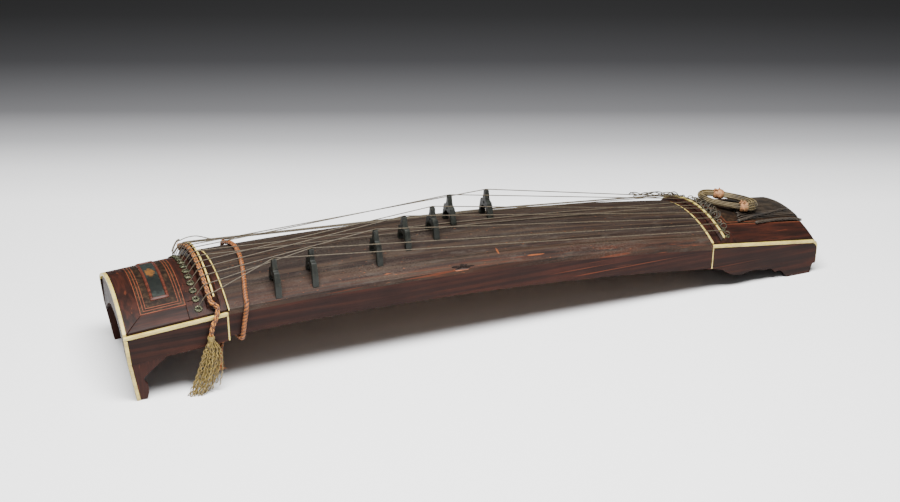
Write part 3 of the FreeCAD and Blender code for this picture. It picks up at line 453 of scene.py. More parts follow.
def panel_wood():
    """Figured burr veneer under old oil: dull warm brown, mottled and rubbed."""
    def build(tree):
        mottle = grain(tree, 7.0, 7.0, detail=6.0, rough=0.7)
        colour = add(tree, "ValToRGB", {"Fac": mottle}, stops=(
            (0.32, "0f0a08"), (0.5, "20160f"), (0.66, "38291c")))
        colour = layer(tree, colour, "14100d", 0.6, spots(tree, (40.0, 30.0), 0.42, 0.66))
        colour = layer(tree, colour, "8a5c38", 0.8, patch(tree, (-518.0, -38.0, 122.0), (4.0, 7.0, 9.0), 0.8))
        for s, y in ((-493.0, -73.0), (-489.0, -64.0)):
            colour = layer(tree, colour, "0b0807", 0.9, patch(tree, (s, y, 117.0), (1.6, 1.9, 6.0), 0.2))
        return {"Base Color": colour, "Roughness": 0.55, "IOR": 1.5, "Specular IOR Level": 0.12,
                "Normal": (mottle, 0.0001, 0.4)}
    return surface("oiled_burr", build)


def old_brass():
    """Cast brass with a thick olive patina, brighter where it is rubbed."""
    def build(tree):
        colour = layer(tree, "262a20", "656146", 1.0, spots(tree, (3.0, 3.0), 0.42, 0.72, 5.0))
        return {"Base Color": colour, "Metallic": 0.75, "Roughness": 0.5}
    return surface("patinated_brass", build)


def lacquer(colours):
    """Painted lacquer plaque, worn: dull blue-green, a scrap of orange left, and painted shade over its near
    end.
    """
    def build(tree):
        colour = layer(tree, colours.lacquer, "2c302b", 0.7, spots(tree, (9.0, 7.0), 0.38, 0.68, 5.0))
        middle = station(sum(PLAQUE) / 2)
        scrap = patch(tree, (middle - 1, 6.0, 134.0), (6.0, 13.0, 40.0), 2.2)
        colour = layer(tree, colour, "63401d", 0.9, scrap)
        # Painted shade: a near-black patch over the plaque's near end stands for the shadow in the recess
        # there.
        painted_shade_near_end = patch(tree, (middle, -30.0, 130.0), (14.0, 22.0, 40.0), 1.6)
        colour = layer(tree, colour, "0e100e", 0.8, painted_shade_near_end)
        dirt = spots(tree, (4.0, 4.0), 0.5, 0.72, 5.0)
        colour = layer(tree, colour, "1a1a15", 0.6, dirt)
        return {"Base Color": colour, "Roughness": 0.45, "IOR": 1.5, "Specular IOR Level": 0.25,
                "Normal": (dirt, -0.0001, 0.5)}
    return surface("worn_lacquer", build)


def silk(name, dark, light, fibre_mm=1.2, rough=0.6, sheen=0.1):
    """Spun silk: a soft lustre, each ply a little lighter or darker along its length.

    Real fibres are too fine to be seen from here, so the pattern is drawn 1 to 3 mm across.
    """
    def build(tree):
        tone = grain(tree, fibre_mm * 6, fibre_mm * 6, detail=5.0)
        colour = add(tree, "ValToRGB", {"Fac": tone}, stops=((0.32, dark), (0.66, light)))
        fibre = grain(tree, fibre_mm, fibre_mm, detail=2.0)
        return {"Base Color": colour, "Roughness": rough, "IOR": 1.5, "Sheen Weight": sheen,
                "Sheen Roughness": 0.4, "Normal": (fibre, 0.0002, 0.5)}
    return surface(name, build)


def paper():
    """Rolled slips of hemp paper, rubbed and soft, tan with darker folds."""
    def build(tree):
        fold = grain(tree, 3.0, 3.0, detail=5.0)
        colour = add(tree, "ValToRGB", {"Fac": fold}, stops=((0.34, "5c3a22"), (0.62, "a5744b")))
        return {"Base Color": colour, "Roughness": 0.8,
                "Normal": (fold, 0.0005, 0.8)}
    return surface("hemp_paper", build)


def broken_wood():
    """Raw split wutong inside the chip: an orange-brown splintered lip in front of the hole, whose inside is
    painted near black as shade.
    """
    def build(tree):
        splinter = grain(tree, 12.0, 1.2, detail=5.0)
        colour = add(tree, "ValToRGB", {"Fac": splinter}, stops=((0.35, "2c160d"), (0.6, "9a5227")))
        # Painted shade: the deep part of the hole is painted near black for the shade inside it.
        colour = layer(tree, colour, "0c0705", 0.95, patch(tree, CHIP_HOLE, (24.0, 4.4, 20.0), 0.25))
        return {"Base Color": colour, "Roughness": 0.8,
                "Normal": (splinter, 0.0005, 0.8)}
    return surface("split_wutong", build)


def paper_with_painted_falloff(colours):
    """Matt seamless paper, pale under the instrument, with painted shade grading it to dark grey well behind
    it, where the light falls off.
    """
    def build(tree):
        yaw = math.radians(VIEW_YAW)
        # Painted shade: the colour darkens with distance along the camera's heading and stands in for the
        # light falling off behind the instrument.
        place = add(tree, "TexCoord", output="Object")
        depth = add(tree, "VectorMath", {0: place, 1: (math.sin(yaw), math.cos(yaw), 0.0)},
                    operation="DOT_PRODUCT", output="Value")
        share = add(tree, "MapRange", {"Value": depth, "From Min": -1.0, "From Max": 2.6})
        colour = add(tree, "ValToRGB", {"Fac": share}, stops=(
            (0.0, colours.floor), (0.40, colours.floor), (0.45, "d4d4d5"), (0.50, "9c9c9e"),
            (0.56, "636365"), (0.68, "3d3d3f"), (0.82, "2e2e2f")))
        return {"Base Color": colour, "Roughness": 0.9, "Specular IOR Level": 0.2}
    return surface("paper_with_painted_falloff", build)


# ---- what a user may change ----

def shade(label, about, code):
    return bpy.props.FloatVectorProperty(name=label, description=about, subtype="COLOR", size=4, min=0.0,
                                         max=1.0, default=linear(code))


def length(label, about, value):
    return bpy.props.FloatProperty(name=label, description=about, default=value, min=0.0, unit="LENGTH")


class GuzhengSizes(bpy.types.PropertyGroup):
    """Sizes of the strings, cords and small wear."""
    string: length("String", "Diameter of a string", 0.0015)
    tassel_cord: length("Tassel cord", "Diameter of the braided cord under the strings", 0.0075)
    body_cord: length("Body cord", "Diameter of the laid cord round the body", 0.007)
    thread: length("Tassel thread", "Diameter of one yarn of the tassel", 0.0016)
    edge: length("Worn edge", "Radius to which the wooden edges are rubbed", 0.0007)
    threads: bpy.props.IntProperty(name="Tassel threads", description="Number of yarns in the tassel",
                                   default=38, min=20, max=400)
    coiled_string: length("Coiled string", "Diameter of the doubled spare string in the coil", 0.0020)
    coil_turns: bpy.props.IntProperty(name="Coil turns", description="Turns of spare string in the coil",
                                      default=15, min=6, max=40)


class GuzhengColours(bpy.types.PropertyGroup):
    """Colours of the finishes."""
    rosewood_dark: shade("Rosewood, dark", "Dark streaks of the rosewood", "100907")
    rosewood_mid: shade("Rosewood", "Ground colour of the rosewood", "24130e")
    rosewood_red: shade("Rosewood, red", "Red streaks of the rosewood", "361a12")
    line_red: shade("Line inlay", "Red-brown wood of the inlaid lines", "66321d")
    soundboard: shade("Soundboard", "Ground colour of the soundboard", "231b18")
    bone: shade("Bone", "Clean bone edging", "c3b062")
    bone_stain: shade("Bone, stained", "Stained bone edging", "876c2a")
    lacquer: shade("Lacquer", "Painted plaque", "191e1c")
    orange: shade("Orange silk", "Light side of the orange silk", "94530c")
    orange_deep: shade("Orange silk, deep", "Dark side of the orange silk", "5f2f05")
    gold: shade("Gold silk", "Light side of the tassel silk", "86702f")
    gold_deep: shade("Gold silk, deep", "Dark side of the tassel silk", "403011")
    string: shade("String", "Light side of a string", "4c412e")
    string_deep: shade("String, deep", "Dark side of a string", "2a2318")
    floor: shade("Floor", "Paper the instrument stands on", "eeeeee")


# Every finish by the name that the pieces ask for it by, made from the panel's colours.
MAKERS = {
    "orange_silk": lambda c: silk("laid_orange_silk", c.orange_deep, c.orange, 1.0),
    "tassel_cord_silk": lambda c: silk("braided_silk", "6f3f0c", "a96b22", 1.0),
    # A dark brown copy of the orange silk for the inner plies and cores of the cords: painted shade in their
    # grooves and gaps.
    "silk_painted_shade": lambda c: silk("braided_silk_painted_shade", "241105", "5c3212", 1.0),
    "gold_silk": lambda c: silk("tassel_silk", c.gold_deep, c.gold, 0.8),
    "string": lambda c: silk("twisted_silk_string", c.string_deep, c.string, 0.7),
    "coiled_string": lambda c: silk("coiled_silk_string", "1d160c", "6b5b38", 3.0),
    "led_string": lambda c: silk("dusty_silk_string", "140f0a", "34291c", 3.0),
    "knotted_string": lambda c: silk("old_silk_string", "1b160e", "453c28", 2.0),
    "paper": lambda c: paper(),
    "soundboard": soundboard_wood,
    "worn_rosewood": lambda c: rosewood("worn_rosewood", c, "x", 0.7, 0.1),
    "rosewood": lambda c: rosewood("oiled_rosewood", c),
    "rosewood_cross": lambda c: rosewood("oiled_rosewood_cross", c, "y"),
    "rosewood_up": lambda c: rosewood("oiled_rosewood_legs", c, "z", 0.3, 0.3),
    "inner": lambda c: plain_wood("unfinished_wutong", "33241a", "57402c", 0.75),
    "line": lambda c: plain_wood("red_line_wood", "3f1d11", "6d3821", 0.6),
    "moulding": lambda c: plain_wood("moulded_rosewood", "26140f", "542a1e", 0.5),
    "split": lambda c: broken_wood(),
    "bone": bone,
    "panel": lambda c: panel_wood(),
    "lacquer": lacquer,
    "brass": lambda c: old_brass(),
    "bridge": lambda c: bridge_wood(),
}
FINISHES = {}


def finish(name):
    """The named finish, made the first time that it is asked for."""
    if name not in FINISHES:
        FINISHES[name] = MAKERS[name](bpy.context.scene.guzheng_colours)
    return FINISHES[name]


def dress(nodes, material, edge=0.0):
    """Give CAD pieces a finish by its name and, with an edge radius in metres, rubbed edges."""
    for name in nodes:
        node = NODES[name]
        node.data.materials.clear()
        node.data.materials.append(finish(material))
        if edge:
            if "custom_normal" in node.data.attributes:
                node.data.attributes.remove(node.data.attributes["custom_normal"])
            node.data.polygons.foreach_set("use_smooth", [True] * len(node.data.polygons))
            weld = node.modifiers.new("weld", "WELD")
            weld.merge_threshold = 0.00001
            rub = node.modifiers.new("rubbed edges", "BEVEL")
            rub.width, rub.segments, rub.limit_method, rub.angle_limit = edge, 2, "ANGLE", math.radians(35)
            rub.use_clamp_overlap = True
            even_normals = node.modifiers.new("even normals", "WEIGHTED_NORMAL")
            even_normals.keep_sharp = False


# ---- stage and camera ----

VIEW_YAW, VIEW_PITCH = 22.10, 23.81
CAMERA_AT = (-0.7564, -1.7347, 0.9273)
LENS = 52.28


class GUZHENG_OT_stage(bpy.types.Operator):
    """Camera, soft studio light and a paper floor, pale near the instrument with painted shade far behind it.
    """
    bl_idname = "guzheng.stage"
    bl_label = "Stage"

    def execute(self, context):
        colours = context.scene.guzheng_colours
        scene = context.scene
        camera = bpy.data.objects.new("camera", bpy.data.cameras.new("camera"))
        scene.collection.objects.link(camera)
        camera.location = CAMERA_AT
        camera.rotation_euler = Euler((math.radians(90 - VIEW_PITCH), 0, math.radians(-VIEW_YAW)))
        camera.data.lens, camera.data.sensor_width = LENS, 36.0
        camera.data.clip_end = 100.0
        scene.camera = camera
        mesh = bpy.data.meshes.new("floor")
        mesh.from_pydata([(-9, -9, 0), (9, -9, 0), (9, 9, 0), (-9, 9, 0)], [], [(0, 1, 2, 3)])
        floor = bpy.data.objects.new("floor", mesh)
        mesh.materials.append(paper_with_painted_falloff(colours))
        scene.collection.objects.link(floor)
        for name, place, size, power in (("key_light", (-0.35, -0.75, 2.3), (2.0, 0.9), 255.0),
                                         ("fill_light", (-0.9, -2.6, 1.9), (2.6, 1.4), 7.0)):
            lamp = bpy.data.lights.new(name, "AREA")
            lamp.shape, lamp.size, lamp.size_y, lamp.energy = "RECTANGLE", size[0], size[1], power
            light = bpy.data.objects.new(name, lamp)
            light.location = place
            light.rotation_euler = (-Vector(place)).to_track_quat("-Z", "Y").to_euler()
            scene.collection.objects.link(light)
        world = bpy.data.worlds.new("studio")
        world.use_nodes = True
        world.node_tree.nodes["Background"].inputs["Color"].default_value = (1, 1, 1, 1)
        world.node_tree.nodes["Background"].inputs["Strength"].default_value = 0.06
        scene.world = world
        return {"FINISHED"}


# ---- cords ----

def tassel_cord_points():
    """Along the nut's ledge under the strings, past its near end, over the edge and down."""
    lift = 10.0 + 7.5 / 2 + 1.2
    s = NUT - 5.8
    half = half_width(s)
    shares = (0.93, 0.74, 0.53, 0.32, 0.11, -0.10, -0.31, -0.52, -0.71, -0.86)
    points = [above(s, y * half, lift) for y in shares]
    out = half + 7.5 / 2 + 0.6
    return points + [
        (station(NUT - 5.3), 6.0 - half, top_z(s, half - 6.0) + 14.8),
        (station(NUT + 3.5), 4.6 - half, top_z(s, half - 4.6) + 10.0),
        (station(NUT + 0.5), 0.4 - out, head_edge(s) + 3.0),
        (station(NUT - 7.5), -out - 0.6, head_edge(s) - 11.0),
        (station(NUT - 11.0), -out - 0.4, head_edge(s) - 27.0),
    ]


def body_cord_points():
    """A hanging end, under the base, up the far side, over the top and down the near side."""
    r, s = 3.5, HEAD_END
    out = half_width(s) + r + 0.7
    under, low = base_z(s + 28) + 2.0 - r - 1.0, LEG_Z + 1.0

    def over(ds, share):
        return above(s + ds, share * half_width(s + ds), r + 0.7)

    def beside(ds, side, z, clear=1.0):
        return (station(s + ds), side * (half_width(s + ds) + r + clear), z)

    points = [
        (station(s - 16), -0.88 * out, low - 29.0), (station(s - 14.5), -0.87 * out, low - 15.0),
        (station(s - 10), -0.80 * out, low - 1.0), (station(s + 4), -0.58 * out, low + 4.0),
        (station(s + 18), -0.25 * out, under - 2.0), (station(s + 28), 0.20 * out, under - 1.0),
        (station(s + 35), 0.58 * out, under - 1.5), (station(s + 39), 0.84 * out, base_z(s + 39) - 5.5),
        beside(40, 1, base_z(s + 40) - 6.5, -0.5), beside(41, 1, base_z(s + 41) + 3.0, 1.4),
        beside(42, 1, board_edge(s + 42) - 15.0),
        beside(42.5, 1, board_edge(s + 42) - 3.0, 1.4), beside(43, 1, board_edge(s + 43) + 6.5, -0.5),
    ]
    points += [over(*swing) for swing in (
        (44, 0.88), (44.6, 0.68), (45.2, 0.47), (45, 0.26), (44, 0.05), (42, -0.16), (39, -0.37), (35, -0.58),
        (30.5, -0.77), (28, -0.89))]
    return points + [
        beside(26, -1, board_edge(s + 26) + 6.5, -0.5), beside(24.5, -1, board_edge(s + 24) - 3.0, 1.4),
        beside(22, -1, board_edge(s + 22) - 15.0), beside(18.5, -1, board_edge(s + 19) - 34.0, 1.2),
        (station(s + 16.5), -0.995 * out, base_z(s + 16) - 6.5),
        (station(s + 14.0), -0.87 * out, base_z(s + 14) - 8.0),
        (station(s + 10.5), -0.72 * out, base_z(s + 10) - 5.5),
    ]


def frayed(at, way, count, reach, radius, rng, spread=0.5):
    """Short loose fibres from a cut cord end."""
    def anyhow():
        return np.array([rng.uniform(-1, 1) for _ in range(3)])

    made = []
    way = unit(np.array(way, float))
    for _ in range(count):
        lean = unit(way + spread * anyhow())
        side = anyhow() * reach * 0.18
        start = np.array(at) + anyhow() * 1.8
        long = reach * rng.uniform(0.5, 1.0)
        points = [start, start + way * long * 0.4, start + lean * long + side]
        made.append(tube(route(points, 2.0), radius, 4))
    return made


class GUZHENG_OT_cords(bpy.types.Operator):
    """Braided cord with its tassel, and the laid cord round the body."""
    bl_idname = "guzheng.cords"
    bl_label = "Cords"

    def execute(self, context):
        sizes = context.scene.guzheng_sizes
        rng = random.Random(5)

        radius = sizes.tassel_cord * 500
        line = even(route(tassel_cord_points(), 2.0), 1.2)
        woven = braid(line, radius, 4, 34.0, radius * 0.33)
        # One way of the braid's plies and the core take the darker silk, as painted shade in the gaps of the
        # braid.
        cord = piece("tassel_cord_braid", woven[:4], "tassel_cord_silk",
                     second=(woven[4:] + [tube(line, radius * 0.45, 8)], "silk_painted_shade"))
        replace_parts(cord, "tassel_cord")

        end, start = line[-1], line[0]
        bight = [start + off for off in ((2, 6, -5), (0, 5, 1), (-1, 1.5, 3), (-3, -4, 2.5))]
        knot = [tube(even(route(bight), 1.0), radius * 0.62, 10)]
        for k in range(6):
            turn = np.linspace(0, 2 * math.pi, 22, endpoint=False)
            centre = start + np.array((0, -1.6 * k + 3.0, 0.6))
            r = radius + 0.5
            loop = [centre + (r * math.cos(t), 0.4 * math.sin(3 * t), r * math.sin(t)) for t in turn]
            knot.append(tube(loop, 0.95, 6, closed=True))
        knot += frayed(start + (0, 4.5, 0), (-0.4, 1.0, 0.1), 14, 9.0, 0.35, rng)
        whipping = piece("tassel_cord_far_end", knot, "tassel_cord_silk")

        threads = []
        for k in range(6):
            turn = np.linspace(0, 2 * math.pi, 20, endpoint=False)
            r = (3.7, 4.2, 4.5, 4.4, 4.1, 3.7)[k]
            loop = [end + (r * math.cos(t), r * math.sin(t), 0.3 * math.sin(2 * t + k) - 1.3 * k)
                    for t in turn]
            threads.append(tube(loop, 0.85, 6, closed=True))
        for i in range(sizes.threads):
            turn, share = i * 2.39996, math.sqrt((i + 0.5) / sizes.threads)
            across, deep = share * math.cos(turn), share * math.sin(turn)
            right = max(0.0, across - 0.1)
            foot = 0.9 + right * rng.uniform(6.0, 34.0) + (rng.uniform(3, 16) if rng.random() < 0.25 else 0.0)
            drop = end[2] - foot
            belly = end + (18.0 * across - 2.5 - 3.0 * rng.random(), 8.0 * deep - 1.0, -0.52 * drop)
            tip_x = end[0] - 22.0 + (20.0 if across < 0 else 34.0) * across * rng.uniform(0.8, 1.05)
            tip = np.array((tip_x, end[1] - 4.0 + 6.0 * deep, foot))
            line_down = route([end + (3.0 * across, 3.0 * deep, 0.0), end + (4.5 * across, 4.5 * deep, -9.0),
                               end + (13.0 * across, 7.0 * deep, -0.26 * drop), belly,
                               belly * 0.4 + tip * 0.6 + (1.5, 0, 0), tip], 2.0)
            wave, phase, size = rng.uniform(9.0, 17.0), rng.uniform(0, 6.28), rng.uniform(0.5, 1.5)
            points = []
            for k, q in enumerate(line_down):
                run = 2.0 * k
                curl = size * min(1.0, run / 20.0)
                points.append(q + (curl * math.sin(6.28 * run / wave + phase),
                                   0.6 * curl * math.cos(6.28 * run / wave * 0.8 + phase), 0.0))
            points = [(q[0], min(q[1], end[1] + 4.6), max(q[2], 0.9)) for q in points]
            threads.append(tube(points, sizes.thread * 500 * rng.uniform(0.75, 1.1), 6))
        tassel = piece("tassel_threads", threads, "gold_silk")
        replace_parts(tassel, "tassel")

        radius = sizes.body_cord * 500
        line = even(route(body_cord_points(), 2.0), 1.2)
        # The plies set a little in and the core take the darker silk, as painted shade in the grooves of the
        # lay.
        dark = plies(line, radius * 0.95, 2, 10.5, radius * 0.41, math.pi / 2)
        dark.append(tube(line, radius * 0.45, 8))
        light = plies(line, radius, 2, 10.5, radius * 0.43)
        laid = piece("body_cord_laid", light, "orange_silk", second=(dark, "silk_painted_shade"))
        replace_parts(laid, "body_cord")
        ends = frayed(line[-1], line[-1] - line[-4], 26, 9.0, 0.4, rng, 0.8)
        ends += frayed(line[0], line[0] - line[3], 26, 11.0, 0.4, rng, 0.8)
        tufts = piece("body_cord_frayed_ends", ends, "orange_silk")
        return {"FINISHED"}


# ---- strings ----

def string_y(number, span):
    return -span / 2 + span * (number - 1) / (STRINGS - 1)


def string_points(number, bridge=None):
    """Eyelet, nut, its bridge or the soundboard, tail nut, eyelet."""
    r = STRING_RADIUS
    head_y, tail_y = string_y(number, SPAN), string_y(number, 0.9 * SPAN)

    def at(s, lift, y=None):
        if y is None:
            y = head_y + (tail_y - head_y) * (s - NUT) / (TAIL_NUT - NUT)
        return above(s, y, lift)

    points = [at(EYELET, -11.0, head_y), at(EYELET, 4.2, head_y), at(NUT - 8.5, NUT_LIFT - 0.3 + r, head_y),
              at(NUT + 0.4, NUT_LIFT + r, head_y)]
    if bridge:
        share, aside = bridge
        peak = at(share * LENGTH, 0)
        y = peak[1] + aside
        points.append(above(share * LENGTH, y, BRIDGE_LIFT + r))
    else:
        aside = 0.8 if number == 7 else 0.0
        points += [tuple(np.add(at(LENGTH * (0.42 + 0.2 * i / 3), 1.2 + r), (0, aside, 0))) for i in range(4)]
    points.append(at(TAIL_NUT, TAIL_NUT_LIFT + r, tail_y))
    return points + [at(TAIL_EYELET, lift, tail_y) for lift in (2.6, -11.0)]


class GUZHENG_OT_strings(bpy.types.Operator):
    """Seven strings over the bridges, six slack ones and a loose end."""
    bl_idname = "guzheng.strings"
    bl_label = "Strings"

    def execute(self, context):
        sizes = context.scene.guzheng_sizes
        rng = random.Random(11)
        r = sizes.string * 500
        for number, share, aside in BRIDGES:
            points = string_points(number, (share, aside))
            head = piece("string_%02d_head" % number, [tube(route(points[:5], 8.0, 5.0), r, 6)], "string",
                         body=None)
            tail = piece("string_%02d_tail" % number, [tube(route(points[4:], 8.0, 5.0), r, 6)], "string",
                         body=None)
            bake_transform(head)
            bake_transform(tail)
            for half in (head, tail):
                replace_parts(half, "string_%02d" % number)
        slack = []
        for number in sorted(set(range(1, STRINGS + 1)) - {b[0] for b in BRIDGES}):
            points = [np.array(p) for p in string_points(number)]
            for p in points[4:8]:
                p += (0, rng.uniform(-1.2, 1.2), rng.uniform(0.0, 0.6))
            slack.append(tube(route(points, 10.0, 30.0), r, 6))
        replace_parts(piece("slack_strings_laid", slack, "string"), "slack_strings")
        ends = []
        for points in (
                [(121, 104, 142), (124, 97, 146), (129, 97, 148), (138, 97, 149.5), (149, 97, 149),
                 (163, 97, 143), (176, 95, 139), (206, 88, 138.5)],
                [(121, 101, 146), (118, 104, 143), (112, 100, 136), (108, 94, 131)],
                [(122, 98, 147), (116, 98, 143), (110, 92, 134), (107.5, 86, 130)]):
            ends.append(tube(route([(station(s), y, z) for s, y, z in points], 5.0), r * 1.1, 6))
        piece("loose_string_end", ends, "string")
        return {"FINISHED"}


COIL_AT, COIL_LONG, COIL_WIDE, COIL_THICK = TAIL_PANEL + 40.0, 100.0, 54.0, 14.0


def coil_place():
    """Turns the coil on the tail, its head end propped up."""
    lift = top_z(COIL_AT, 0) + 5.0 + COIL_THICK / 2
    turned = Matrix.Rotation(math.radians(-41), 4, "Z") @ Matrix.Rotation(math.radians(5), 4, "Y")
    return Matrix.Translation((station(COIL_AT), 0, lift)) @ turned


def coil_middle(turn):
    """Middle of the hank's bundle at an angle round its ring."""
    c, s = math.cos(turn), math.sin(turn)
    long, wide = (COIL_LONG - COIL_THICK) / 2, (COIL_WIDE - COIL_THICK) / 2
    return np.array([long * math.copysign(abs(c) ** 0.86, c), wide * math.copysign(abs(s) ** 0.92, s), 0.0])


def coil_line(turns, pitch, rng):
    """One string wound round and round, each turn lying beside the last in a spiral pile."""
    points = []
    each = 56
    waves = [(rng.uniform(0.2, 0.6), rng.randint(2, 5), rng.uniform(0, 6.28)) for _ in range(4)]
    for i in range(turns * each + 1):
        t = i / each
        turn = 2 * math.pi * t
        middle, ahead = coil_middle(turn), coil_middle(turn + 0.05)
        out = unit(np.cross(ahead - middle, (0, 0, 1)))
        spiral = math.sqrt(4 * math.pi * (t + 0.15))
        reach = pitch * spiral / (2 * math.pi)
        loose = 0.92 + 0.7 * max(0.0, math.cos(turn + 0.2)) ** 6 + 0.12 * math.sin(2 * turn) ** 2
        sag = sum(a * math.sin(n * turn + p) for a, n, p in waves)
        off = reach * loose * (math.cos(spiral) * out + math.sin(spiral) * np.array([0, 0, 1.0]) * 0.85)
        points.append(middle + off + np.array([0, 0, 0.5 * sag]))
    place = coil_place()
    return np.array([place @ Vector(p) for p in points])


class GUZHENG_OT_spare_string(bpy.types.Operator):
    """Spare lengths of string: the coil with its paper ties, the strands over the tail end and the knots."""
    bl_idname = "guzheng.spare_string"
    bl_label = "Spare string"

    def execute(self, context):
        sizes = context.scene.guzheng_sizes
        rng = random.Random(23)
        r = sizes.string * 500
        line = coil_line(sizes.coil_turns, 2.9, rng)
        thick = sizes.coiled_string
        coil = piece("string_coil_wound", [tube(line, thick * 500, 6)], "coiled_string")
        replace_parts(coil, "string_coil")
        place = coil_place()
        slips = []
        for at_turn in (math.radians(110), math.radians(-47)):
            for ply in range(3):
                loops = []
                for t in np.linspace(-7.5, 7.5, 9) * (1.0 - 0.12 * ply):
                    here, ahead = coil_middle(at_turn + t / 34.0), coil_middle(at_turn + t / 34.0 + 0.05)
                    out = unit(np.cross(ahead - here, (0, 0, 1)))
                    loop = []
                    for a in np.linspace(0, 2 * math.pi, 26, endpoint=False):
                        ruck = 0.33 * math.sin(5 * a + 2 * ply + 0.8 * t)
                        ruck += 0.21 * math.sin(9 * a + t * 1.7 + ply)
                        reach = COIL_THICK / 2 + 0.2 + 0.55 * ply + ruck - (1.0 if abs(t) > 6.5 else 0)
                        q = here + reach * (math.cos(a) * out + math.sin(a) * np.array((0, 0, 1.0)))
                        loop.append(place @ Vector(q))
                    loops.append(loop)
                thin = []
                for loop in loops:
                    centre = sum(loop, Vector()) / len(loop)
                    thin.append([centre + (q - centre) * 0.94 for q in loop])
                slips.append(rings(loops + thin[::-1]))
            middle = Vector(coil_middle(at_turn))
            for k in range(4):
                at = place @ (middle + Vector((rng.uniform(-7, 7), rng.uniform(-5, 5), COIL_THICK / 2 + 0.8)))
                tip = at + Vector((rng.uniform(-8, 8), rng.uniform(-4, 4), rng.uniform(0.0, 2.5)))
                slips.append(tube(route([at, (at + tip) / 2 + Vector((0, 0, 1.2)), tip], 2.0), 1.0, 5))
        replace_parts(piece("coil_paper_ties", slips, "paper"), "coil_ties")

        strands = []
        for k in range(3 * STRINGS):
            share = k / (3 * STRINGS - 1)
            y_end = TAIL_PANEL_HALF * (-0.72 + 1.54 * share) + rng.uniform(-0.5, 0.5)
            y_in = TAIL_PANEL_HALF * (-0.90 + 1.28 * share) + rng.uniform(-1.2, 1.2)
            s_in = TAIL_PANEL + 36 + 10 * share + rng.uniform(-4, 4)
            up = 0.9 + (k % 2) * 0.9
            out, low_z = station(BODY_END) + 0.1 + up * 0.45, top_z(BODY_END - TAIL_ROUND, y_end)
            middle = (y_end + 2 * y_in) / 3 + rng.uniform(-1.5, 1.5)
            points = [
                (out, y_end, 0.62 * (CORNER_Z - 20 - SIDE_HEIGHT)),
                (out, y_end, low_z - 0.586 * TAIL_ROUND + 0.414 * up),
                (station(BODY_END - 0.586 * TAIL_ROUND) + 0.414 * up, y_end, low_z + 0.6 * up),
                above(BODY_END - 1.3 * TAIL_ROUND, y_end, up + 0.2),
                above(s_in + 34, (y_end + middle) / 2, up + 0.2),
                above(s_in + 14, middle, up + 0.4),
                above(s_in, y_in, up + 1.0),
            ]
            strands.append(tube(route(points, 6.0), r * rng.uniform(1.0, 1.25), 5))
        for rope in ([(1017, -56), (1046, -48), (1082, -40), (1115, -30), (1134, -26)],
                     [(1048, -62), (1079, -58), (1105, -56), (1130, -56), (1144, -56)]):
            laid = route([above(s, y, 3.4) for s, y in rope], 3.0)
            strands += plies(laid, 2.6, 4, 34.0, 1.15)
        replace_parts(piece("tail_strands_led_over", strands, "led_string"), "tail_strands")

        knots = []
        for number in range(1, STRINGS + 1):
            y = string_y(number, 0.9 * SPAN)
            base = np.array(above(TAIL_EYELET, y, 2.2))
            for k in range(4 if 3 < number < 9 else 2 if number > 8 else 1):
                big = rng.uniform(6.0, 11.0) if 3 < number < 9 else 4.0 + 3.0 * rng.random()
                way, tilt = rng.uniform(-1.3, 0.7), rng.uniform(-1.2, 1.2)
                across = np.array((math.cos(way), math.sin(way), 0.0))
                up = math.sin(tilt) * np.array((-math.sin(way), math.cos(way), 0)) + (0, 0, math.cos(tilt))
                centre = base + (rng.uniform(-2, 9) if k else 0, rng.uniform(-5, 5),
                                 0.6 * big * math.cos(tilt))
                points = [base + (rng.uniform(-1, 1), rng.uniform(-1, 1), -1.0)]
                for t in np.linspace(rng.uniform(-1.6, -0.8), rng.uniform(2.6, 4.4), 11):
                    q = centre + big * (0.75 * math.cos(t) * across + 0.7 * math.sin(t) * up)
                    q[2] = max(q[2], base[2] - 0.4)
                    points.append(q)
                knots.append(tube(route(points, 3.0), r * 1.15, 6))
        for start, phase in ((58.0, 0.0), (66.0, 1.9), (50.0, 3.6)):
            wavy = []
            for i in range(12):
                s = TAIL_EYELET - 3 - i * 9.0
                lift = 13.0 + 3.2 * math.sin(1.25 * i + phase) - (9.0 if i == 0 else 0.0)
                y = start + 2.5 * math.sin(0.8 * i + phase)
                wavy.append(above(s, y, lift))
            knots.append(tube(route(wavy, 3.0), r * 1.15, 6))
        piece("tail_string_knots", knots, "knotted_string")
        return {"FINISHED"}


# ---- wood, metal and bone ----

